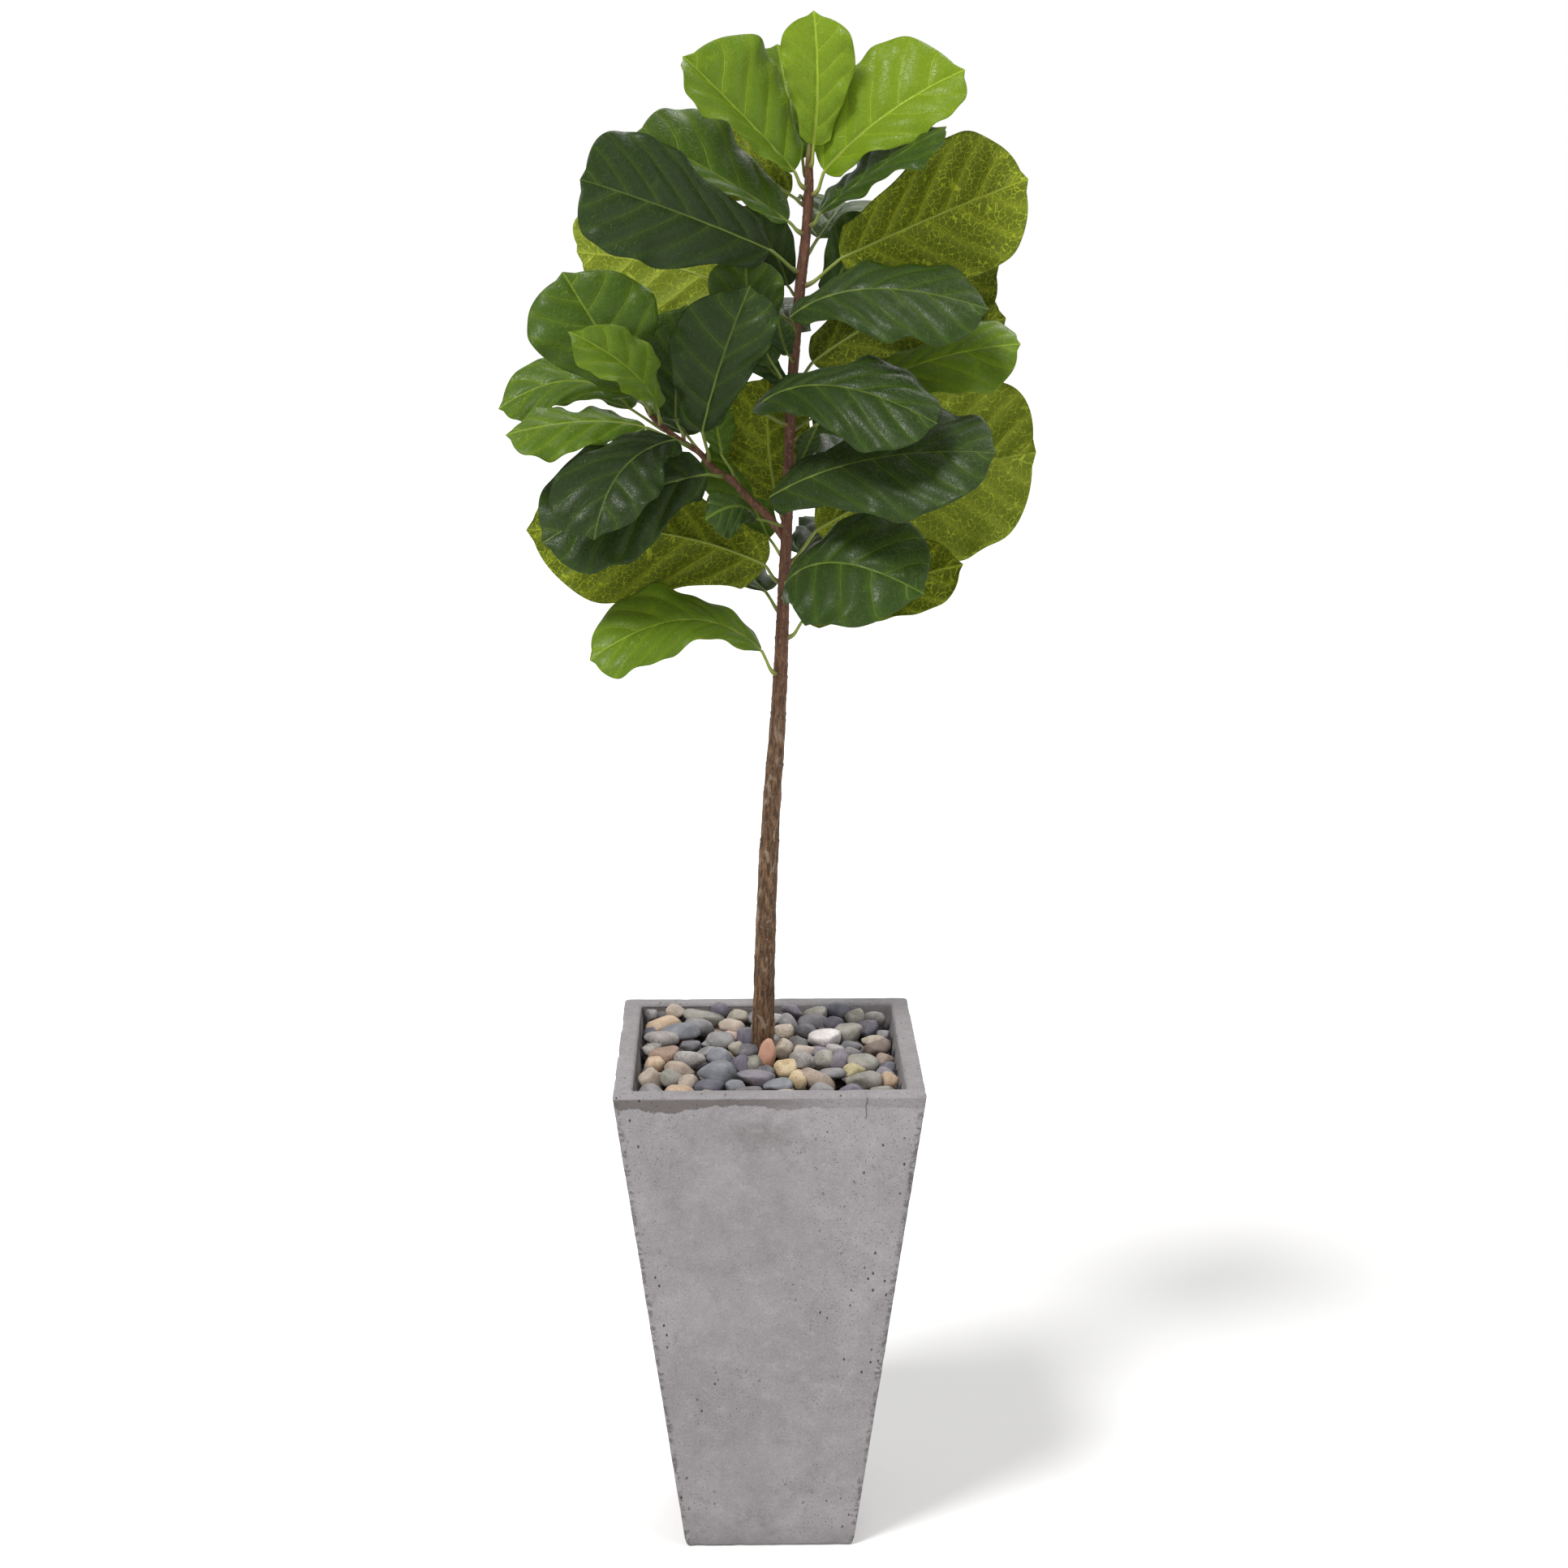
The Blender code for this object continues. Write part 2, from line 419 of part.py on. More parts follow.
def build():
    clear_scene()
    parts = collection("potted_fiddle_leaf_fig")
    cutters = collection("cutters")

    concrete = material("concrete", (0.34, 0.32, 0.34), 0.9)
    soil_look = material("soil", (0.06, 0.04, 0.03), 1.0)
    stone = material("river_stone", (0.32, 0.32, 0.3), 0.7)
    bark = material("bark", (0.16, 0.09, 0.05), 0.85)
    leaf_look = material("leaf", (0.10, 0.20, 0.05), 0.45)

    planter = tapered_block("planter", 0.0, PLANTER_HEIGHT, 0.0, parts, concrete)
    hollow = tapered_block("planter_hollow", FLOOR, PLANTER_HEIGHT + PAST_RIM, WALL, cutters)
    cutter(hollow)
    modifier(planter, "BEVEL", width=EDGE_ROUNDING, segments=2, limit_method="ANGLE")
    modifier(planter, "BOOLEAN", operation="DIFFERENCE", object=hollow)

    soil = tapered_block("potting_soil", FLOOR + GAP, SOIL_TOP, WALL + GAP, parts, soil_look)
    pebbles = pebble_bed(parts, stone)

    trunk_line = smooth_line(TRUNK_LINE, STEM_RINGS)
    branch_line = smooth_line(BRANCH_LINE, STEM_RINGS // 2)
    trunk = stem("trunk", trunk_line, parts, bark)
    branch = stem("side_branch", branch_line, cutters)
    cutter(branch)
    modifier(trunk, "BOOLEAN", operation="UNION", object=branch)

    clearance = [(place, radius + GAP * 2) for place, radius in trunk_line]
    clearance[0] = (clearance[0][0] - Vector((0, 0, GAP * 2)), clearance[0][1])
    root_hole = stem("root_hole", clearance, cutters)
    cutter(root_hole)
    for fill in (soil, pebbles):
        modifier(fill, "BOOLEAN", operation="DIFFERENCE", object=root_hole)

    stems = {"trunk": (trunk_line, True), "branch": (branch_line, False)}
    for name, (on, where, *shape) in LEAVES.items():
        line, by_height = stems[on]
        leaf("leaf_" + name, joint_on(line, where, by_height), *shape, parts, leaf_look)


build()
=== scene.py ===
"""Looks of the potted fiddle leaf fig: its leaves, bark, river pebbles, soil and cast concrete planter.

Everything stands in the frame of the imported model, in metres. The plant's tables are in centimetres.
"""

import math

import bmesh
import bpy
import numpy as np
from mathutils import Matrix, Vector, noise


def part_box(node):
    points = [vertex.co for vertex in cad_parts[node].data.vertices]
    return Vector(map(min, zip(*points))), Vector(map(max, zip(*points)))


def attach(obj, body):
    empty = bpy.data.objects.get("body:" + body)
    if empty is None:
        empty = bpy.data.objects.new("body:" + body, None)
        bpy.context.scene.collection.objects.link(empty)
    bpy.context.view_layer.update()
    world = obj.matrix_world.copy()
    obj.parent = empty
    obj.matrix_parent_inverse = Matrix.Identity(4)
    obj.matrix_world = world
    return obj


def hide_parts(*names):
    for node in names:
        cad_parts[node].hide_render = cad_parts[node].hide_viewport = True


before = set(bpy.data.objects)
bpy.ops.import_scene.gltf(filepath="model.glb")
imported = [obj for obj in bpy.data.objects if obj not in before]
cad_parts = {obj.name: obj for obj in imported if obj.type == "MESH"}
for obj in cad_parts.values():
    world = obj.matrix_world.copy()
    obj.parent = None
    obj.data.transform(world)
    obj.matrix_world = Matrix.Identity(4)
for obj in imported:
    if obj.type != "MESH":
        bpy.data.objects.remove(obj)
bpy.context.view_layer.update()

CM = 0.01
BODY = "root"

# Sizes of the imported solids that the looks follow.
PLANTER_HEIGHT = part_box("planter")[1][2]
PLANTER_HALF_TOP = 0.1525
PLANTER_BOTTOM = 0.174
WALL = 0.0195
FLOOR = 0.022
SOIL_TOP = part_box("potting_soil")[1][2]

# Camera: it stands in front of the planter, looks a little down, and sees the whole plant.
CAMERA_LENS = 60.4
CAMERA_PLACE = (-0.030, -2.545, PLANTER_HEIGHT + 0.880)
CAMERA_PITCH = 13.43
CAMERA_YAW = 1.045

# Planter skin: corner, foot and rim rounding, then rows up a wall and points along a side and a corner.
CORNER_ROUND = 0.004
FOOT_ROUND = 0.005
RIM_ROUND = 0.0035
WALL_ROWS = 150
SIDE_POINTS = 84
CORNER_POINTS = 5

# Wear of the planter: how deep its cast waves, its skin, its chips and the worn band under the rim go,
# and where that band starts below the rim and how high it is.
CAST_DEEP = 0.0006
SKIN_DEEP = 0.0005
CHIP_DEEP = 0.0040
BAND_DEEP = 0.0011
BAND_TOP = 0.004
BAND_HIGH = 0.018

# Light: a sky that is white at the horizon and dimmer overhead, and three soft suns (name, place it
# shines from, softness in degrees, power, colour).
SKY_OVERHEAD = 0.30
LIGHTS = (
    ("key", (-1.5, -1.5, 3.0), 18.0, 2.70, (1.0, 0.99, 0.97)),
    ("side", (2.4, -1.6, 1.5), 40.0, 0.55, (0.98, 0.99, 1.0)),
    ("rear", (0.8, 2.0, 2.4), 34.0, 1.30, (1.0, 0.99, 0.96)),
)

# Hairlines in the front face: x, lowest and highest point.
HAIRLINES = ((0.093, 0.488, 0.512), (0.049, 0.030, 0.098))

# Blade: grid, thickness, relief and veins. Stalks and stems.
BLADE_ROWS = 76
BLADE_COLUMNS = 45
BLADE_THICKNESS = 0.0008
BROADEST = 0.66
NUB_LENGTH = 0.005
NUB_REACH = 0.010
QUILT = 0.0036
VEIN_RELIEF = 0.0007
VEIN_SPACING = 0.034
VEIN_RISE = 0.26
ARCH = 0.16
MARGIN_WAVE = 0.0052
MARGIN_RIPPLES = ((0.035, 9.0), (0.02, 23.0))
GROOVE_DEEP = 0.0010
GROOVE_WIDE = 0.0024
STALK_RADIUS = 0.0016
STALK_ROWS = 14
TRUNK_RINGS = 620
TRUNK_SIDES = 56
BRANCH_RINGS = 150
BRANCH_SIDES = 28

# Stones: soft worn facets on each, and the height of the layer underneath, in centimetres.
WORN_FACETS = 9
UNDER_HEIGHT = 49.0

# Colours along a leaf's tone: 0 is the darkest old leaf and 1 the youngest. The tone also carries painted
# light: brighter tones paint the glow of backlit leaves, and a painted shade darkens each blade towards its
# base.
UPPER_TONES = ((0.0, (0.010, 0.019, 0.005)), (0.25, (0.020, 0.044, 0.005)), (0.5, (0.052, 0.105, 0.006)),
               (0.75, (0.110, 0.190, 0.006)), (1.0, (0.205, 0.310, 0.008)))
VEIN_TONES = ((0.0, (0.050, 0.082, 0.014)), (0.3, (0.120, 0.180, 0.018)), (0.6, (0.230, 0.320, 0.026)),
              (1.0, (0.400, 0.540, 0.045)))
UNDER_TONES = ((0.0, (0.026, 0.036, 0.003)), (0.5, (0.080, 0.108, 0.004)), (1.0, (0.210, 0.275, 0.022)))
UNDER_VEIN_TONES = ((0.0, (0.110, 0.135, 0.012)), (0.5, (0.320, 0.380, 0.020)), (1.0, (0.520, 0.600, 0.070)))

# Stones: a tint that all share, then two colours and how speckled each kind is.
STONE_TINT = (1.03, 0.96, 1.05)
STONES = {
    "grey": ((0.175, 0.180, 0.170), (0.275, 0.280, 0.262), 0.35),
    "light_grey": ((0.330, 0.325, 0.295), (0.460, 0.450, 0.405), 0.45),
    "blue_grey": ((0.150, 0.172, 0.180), (0.235, 0.258, 0.260), 0.25),
    "slate": ((0.072, 0.078, 0.092), (0.135, 0.142, 0.158), 0.15),
    "slate_grey": ((0.100, 0.105, 0.108), (0.175, 0.180, 0.178), 0.25),
    "mauve": ((0.165, 0.158, 0.172), (0.255, 0.245, 0.258), 0.25),
    "mauve_slate": ((0.095, 0.093, 0.115), (0.170, 0.165, 0.190), 0.30),
    "olive": ((0.240, 0.235, 0.170), (0.360, 0.350, 0.260), 0.45),
    "olive_grey": ((0.200, 0.208, 0.165), (0.310, 0.315, 0.255), 0.50),
    "speck_grey": ((0.215, 0.215, 0.190), (0.370, 0.365, 0.320), 0.95),
    "speck_olive": ((0.230, 0.235, 0.185), (0.350, 0.355, 0.285), 0.75),
    "speck_beige": ((0.330, 0.295, 0.210), (0.500, 0.455, 0.345), 0.90),
    "beige": ((0.330, 0.290, 0.215), (0.470, 0.420, 0.325), 0.40),
    "tan": ((0.400, 0.300, 0.180), (0.540, 0.430, 0.280), 0.45),
    "tan_pink": ((0.430, 0.310, 0.215), (0.560, 0.440, 0.330), 0.30),
    "tan_grey": ((0.270, 0.225, 0.165), (0.400, 0.340, 0.250), 0.45),
    "brown": ((0.235, 0.160, 0.100), (0.350, 0.255, 0.170), 0.40),
    "brown_dark": ((0.120, 0.095, 0.072), (0.205, 0.170, 0.130), 0.30),
    "yellow_tan": ((0.440, 0.350, 0.170), (0.600, 0.510, 0.300), 0.80),
    "yellow_olive": ((0.330, 0.300, 0.140), (0.460, 0.430, 0.230), 0.50),
    "terracotta": ((0.430, 0.240, 0.145), (0.530, 0.320, 0.205), 0.20),
    "white": ((0.640, 0.640, 0.580), (0.780, 0.780, 0.720), 0.70),
}

# Top stones: x, y, z of the centre, length, depth, height in centimetres, turn and roll in degrees, kind.
PEBBLES = (
    (-12.2, 12.3, 50.6, 1.4, 1.5, 1.3, 0, 0, "grey"),
    (-10.9, 10.2, 50.2, 3.9, 2.7, 1.8, 4, -6, "tan"),
    (-9.8, 12.1, 51.0, 2.0, 1.7, 1.9, 0, -50, "beige"),
    (-6.7, 11.6, 50.6, 4.5, 2.1, 1.4, -8, 10, "olive_grey"),
    (-5.0, 12.5, 50.9, 2.0, 1.8, 2.2, 0, 20, "mauve_slate"),
    (-3.1, 11.8, 50.6, 2.3, 2.0, 1.6, 0, 0, "olive"),
    (-7.1, 9.4, 50.3, 3.3, 2.3, 1.9, 6, 10, "grey"),
    (-3.7, 9.0, 50.3, 2.9, 2.3, 1.8, 0, 4, "beige"),
    (-9.1, 7.4, 50.3, 4.5, 2.7, 1.9, 5, -6, "blue_grey"),
    (-11.0, 5.2, 50.3, 3.8, 2.5, 1.8, -4, 4, "speck_grey"),
    (-12.0, 2.8, 50.2, 2.2, 2.0, 1.3, 0, 0, "speck_grey"),
    (-7.9, 3.4, 50.2, 2.2, 1.8, 1.2, 0, 0, "slate_grey"),
    (-6.2, 4.4, 50.0, 1.5, 1.5, 1.1, 0, 0, "grey"),
    (-4.9, 4.7, 50.3, 3.0, 2.4, 1.8, 14, -8, "grey"),
    (-3.8, 6.9, 50.1, 2.1, 1.8, 1.3, 0, 0, "tan_pink"),
    (-2.3, 5.2, 50.4, 1.8, 1.9, 2.4, 0, 4, "mauve_slate"),
    (-3.2, 2.2, 50.4, 1.8, 1.7, 1.4, 0, 0, "olive"),
    (-10.6, 0.8, 50.3, 3.3, 2.3, 1.6, 4, -13, "brown"),
    (-11.5, -2.2, 50.3, 2.2, 2.0, 1.4, 0, -4, "tan"),
    (-7.9, -1.1, 50.4, 3.3, 2.6, 2.0, -6, 7, "speck_grey"),
    (-6.2, 1.9, 50.1, 2.4, 1.9, 1.2, 0, 0, "grey"),
    (-4.9, -1.1, 50.5, 2.8, 2.5, 2.1, 6, 8, "blue_grey"),
    (-2.9, -2.8, 50.4, 1.9, 2.1, 2.2, 0, 0, "mauve_slate"),
    (-2.0, -0.5, 50.8, 2.1, 1.9, 2.0, 0, 0, "slate_grey"),
    (-1.5, -2.6, 50.2, 2.0, 2.2, 2.0, 0, -16, "olive_grey"),
    (-0.1, -1.8, 51.0, 1.9, 1.3, 3.6, 6, 12, "terracotta"),
    (1.5, 1.3, 50.6, 2.3, 2.1, 2.3, 0, 0, "speck_beige"),
    (1.8, 7.3, 50.4, 2.1, 2.0, 1.5, 0, 0, "speck_beige"),
    (1.1, 11.0, 50.5, 1.5, 1.6, 1.5, 0, 0, "light_grey"),
    (2.3, 9.4, 50.3, 2.5, 2.4, 2.3, 0, 32, "grey"),
    (2.8, 12.3, 51.0, 2.7, 1.7, 1.5, 0, 28, "mauve"),
    (5.2, 11.9, 50.7, 2.6, 2.1, 1.5, 0, -8, "olive_grey"),
    (7.7, 12.6, 51.0, 3.9, 1.6, 1.6, -6, 12, "slate"),
    (4.9, 10.0, 50.4, 3.3, 2.4, 1.9, 0, 3, "slate_grey"),
    (7.0, 9.8, 50.4, 2.4, 2.2, 1.8, 0, 10, "mauve_slate"),
    (9.5, 11.4, 50.6, 2.4, 2.1, 1.8, 0, 0, "speck_olive"),
    (11.5, 11.2, 50.5, 2.4, 2.1, 1.7, 0, 16, "speck_grey"),
    (10.6, 8.3, 50.4, 2.7, 2.4, 2.0, 0, 8, "mauve_slate"),
    (8.3, 6.3, 50.5, 3.3, 2.8, 2.2, 0, 0, "speck_olive"),
    (4.2, 7.5, 50.3, 2.4, 2.2, 1.7, 0, 0, "slate_grey"),
    (5.9, 4.1, 50.7, 3.5, 2.5, 1.8, 0, 2, "white"),
    (3.2, 4.0, 50.2, 2.1, 2.0, 1.4, 0, 14, "grey"),
    (8.5, 2.9, 50.2, 2.4, 1.9, 1.3, 0, 0, "slate_grey"),
    (11.0, 4.6, 50.3, 2.5, 1.9, 1.4, -8, 16, "speck_beige"),
    (11.3, 1.9, 50.3, 2.9, 2.5, 1.9, 0, -10, "brown_dark"),
    (6.9, 1.7, 50.3, 1.9, 1.6, 1.2, 0, 14, "light_grey"),
    (8.7, 0.6, 50.3, 2.2, 2.0, 1.4, 0, 18, "grey"),
    (3.7, 1.5, 50.3, 2.4, 1.9, 1.3, 0, -5, "beige"),
    (5.3, 1.4, 50.2, 2.0, 1.7, 1.2, 0, 0, "mauve"),
    (3.6, -1.3, 50.4, 3.0, 2.3, 1.7, 0, 0, "speck_grey"),
    (5.7, -1.5, 50.5, 2.2, 2.2, 1.9, 0, 18, "speck_olive"),
    (7.4, -1.9, 50.4, 2.1, 2.2, 2.1, 0, 26, "mauve"),
    (9.6, -2.6, 50.4, 3.3, 2.6, 2.0, -8, 20, "olive_grey"),
    (12.0, -3.4, 50.1, 1.7, 1.8, 1.3, 0, 0, "slate"),
    (8.6, -4.9, 50.4, 2.4, 1.9, 1.5, 0, 0, "yellow_olive"),
    (6.4, -5.2, 50.2, 3.0, 2.0, 1.3, 0, -5, "grey"),
    (4.8, -7.4, 50.4, 4.1, 2.6, 2.0, -8, 15, "tan_grey"),
    (2.8, -8.2, 50.6, 1.9, 1.9, 1.8, 0, 8, "yellow_tan"),
    (1.7, -4.3, 50.6, 2.4, 2.3, 2.2, 0, 18, "yellow_tan"),
    (9.4, -7.9, 50.5, 3.7, 2.9, 2.0, 6, -5, "olive_grey"),
    (11.9, -8.0, 50.6, 1.9, 1.8, 1.5, 0, 5, "tan"),
    (0.9, -9.4, 50.4, 3.0, 2.2, 1.4, 0, -6, "blue_grey"),
    (-1.3, -7.0, 50.5, 3.9, 2.6, 1.7, 0, 0, "mauve"),
    (-0.2, -4.3, 50.1, 2.2, 2.0, 1.4, 20, 0, "slate_grey"),
    (-5.0, -5.8, 50.6, 4.3, 3.0, 2.2, 4, 8, "blue_grey"),
    (-5.9, -9.4, 50.4, 3.0, 2.2, 1.5, 0, 0, "slate"),
    (-3.2, -9.2, 50.3, 2.5, 2.2, 1.5, 0, 12, "blue_grey"),
    (-8.9, -4.0, 50.3, 3.2, 2.2, 1.5, 0, 10, "tan_grey"),
    (-9.6, -6.6, 50.3, 2.6, 2.4, 2.0, 0, 8, "olive_grey"),
    (-8.0, -8.2, 50.5, 2.1, 1.9, 1.7, 0, 0, "speck_beige"),
    (-11.7, -6.9, 50.4, 2.6, 2.5, 2.2, 0, 8, "beige"),
    (-12.0, -4.3, 50.0, 1.8, 1.8, 1.3, 0, 0, "slate_grey"),
    (-12.2, 7.8, 50.1, 1.9, 2.0, 1.4, 0, 0, "slate"),
    (-0.6, 8.6, 50.2, 2.4, 2.2, 1.6, 30, 0, "olive_grey"),
    (-0.9, 12.0, 50.5, 2.4, 2.0, 1.5, 0, 0, "grey"),
    (0.2, 4.6, 50.2, 2.2, 2.0, 1.5, 10, 0, "blue_grey"),
    (6.2, 7.4, 50.1, 1.9, 2.0, 1.4, 0, 0, "brown_dark"),
    (12.2, 6.2, 50.2, 1.6, 1.9, 1.4, 0, 0, "grey"),
    (11.9, -0.8, 50.1, 1.9, 1.8, 1.3, 0, 0, "tan_grey"),
    (11.6, -5.6, 50.2, 2.0, 1.9, 1.4, 0, 0, "mauve"),
    (-11.6, -10.4, 50.3, 2.6, 2.3, 1.6, 0, 4, "grey"),
    (-8.8, -11.2, 50.3, 3.0, 2.3, 1.7, 8, 0, "tan"),
    (-5.3, -11.9, 50.3, 3.0, 2.0, 1.6, -6, 0, "olive"),
    (-2.0, -11.7, 50.4, 3.1, 2.3, 1.7, 0, 4, "slate_grey"),
    (1.5, -11.9, 50.3, 2.9, 2.0, 1.6, 5, 0, "beige"),
    (4.9, -10.9, 50.4, 3.1, 2.4, 1.8, 0, -4, "grey"),
    (8.0, -11.3, 50.4, 2.9, 2.3, 1.7, 6, 0, "mauve_slate"),
    (11.2, -11.0, 50.3, 2.7, 2.3, 1.7, 0, 5, "olive_grey"),
)

# How old each leaf looks, 0 the darkest and 1 the youngest, with painted light mixed in: leaves lit from
# behind are given brighter tones that paint the light shining through them.
LEAF_AGE_AND_LIGHT_TONES = {
    "crown_centre": 0.84, "crown_left": 0.68, "crown_right": 0.84, "crown_back": 0.62, "upper_left": 0.42,
    "dark_left": 0.10, "upper_right": 0.30, "big_right": 0.52, "back_left": 0.85, "behind_top": 0.60,
    "mid_right": 0.20, "behind_mid_right": 0.30, "back_right": 0.50, "olive_right": 0.60,
    "centre_droop": 0.16, "low_right_droop": 0.16, "big_low_right": 0.72, "glossy_low_right": 0.22,
    "behind_low_right": 0.45, "lowest_left": 0.62, "big_low_left": 0.45, "quilted_left": 0.42,
    "folded_left": 0.60, "far_left": 0.50, "pale_left": 0.55, "centre_dark": 0.14, "behind_centre": 0.34,
    "front_low_left": 0.08, "broad_low_left": 0.14, "behind_low_centre": 0.42, "small_left": 0.45,
    "small_right": 0.20, "under_branch": 0.20, "small_front": 0.16, "inner_left": 0.26, "inner_right": 0.34,
    "rear_top": 0.45, "rear_upper": 0.32, "rear_right": 0.28, "rear_left": 0.36, "rear_low_right": 0.24,
    "rear_low_left": 0.30, "inner_high": 0.24, "inner_high_right": 0.26, "inner_middle": 0.22,
    "inner_low": 0.50,
}

# Trunk and side branch: (x, y, z, diameter) along each centre line, in centimetres.
TRUNK_LINE = [
    (-0.4, 1.0, 40.0, 2.6), (-0.5, 1.0, 50.0, 2.35), (-0.3, 0.7, 60.0, 2.05), (0.2, 0.3, 73.0, 1.85),
    (1.2, 0.1, 88.0, 1.45), (1.6, 0.0, 98.0, 1.15), (2.0, 0.0, 107.0, 1.05), (2.2, 0.0, 114.0, 1.0),
    (2.7, 0.0, 122.0, 1.0), (3.3, 0.0, 128.6, 1.0), (3.8, 0.0, 133.0, 0.95), (4.0, 0.0, 137.0, 0.85),
    (4.0, 0.0, 139.4, 0.6), (4.05, 0.0, 141.0, 0.25),
]
BRANCH_LINE = [
    (1.8, 0.0, 103.2, 0.8), (0.2, 0.1, 105.4, 0.8), (-1.7, 0.2, 107.2, 0.75), (-3.4, 0.1, 109.0, 0.7),
    (-5.2, 0.0, 110.2, 0.65), (-6.6, 0.0, 111.8, 0.6), (-8.2, 0.0, 112.8, 0.6), (-10.0, 0.0, 114.2, 0.55),
    (-11.3, 0.0, 115.5, 0.45), (-11.9, 0.0, 116.6, 0.2),
]

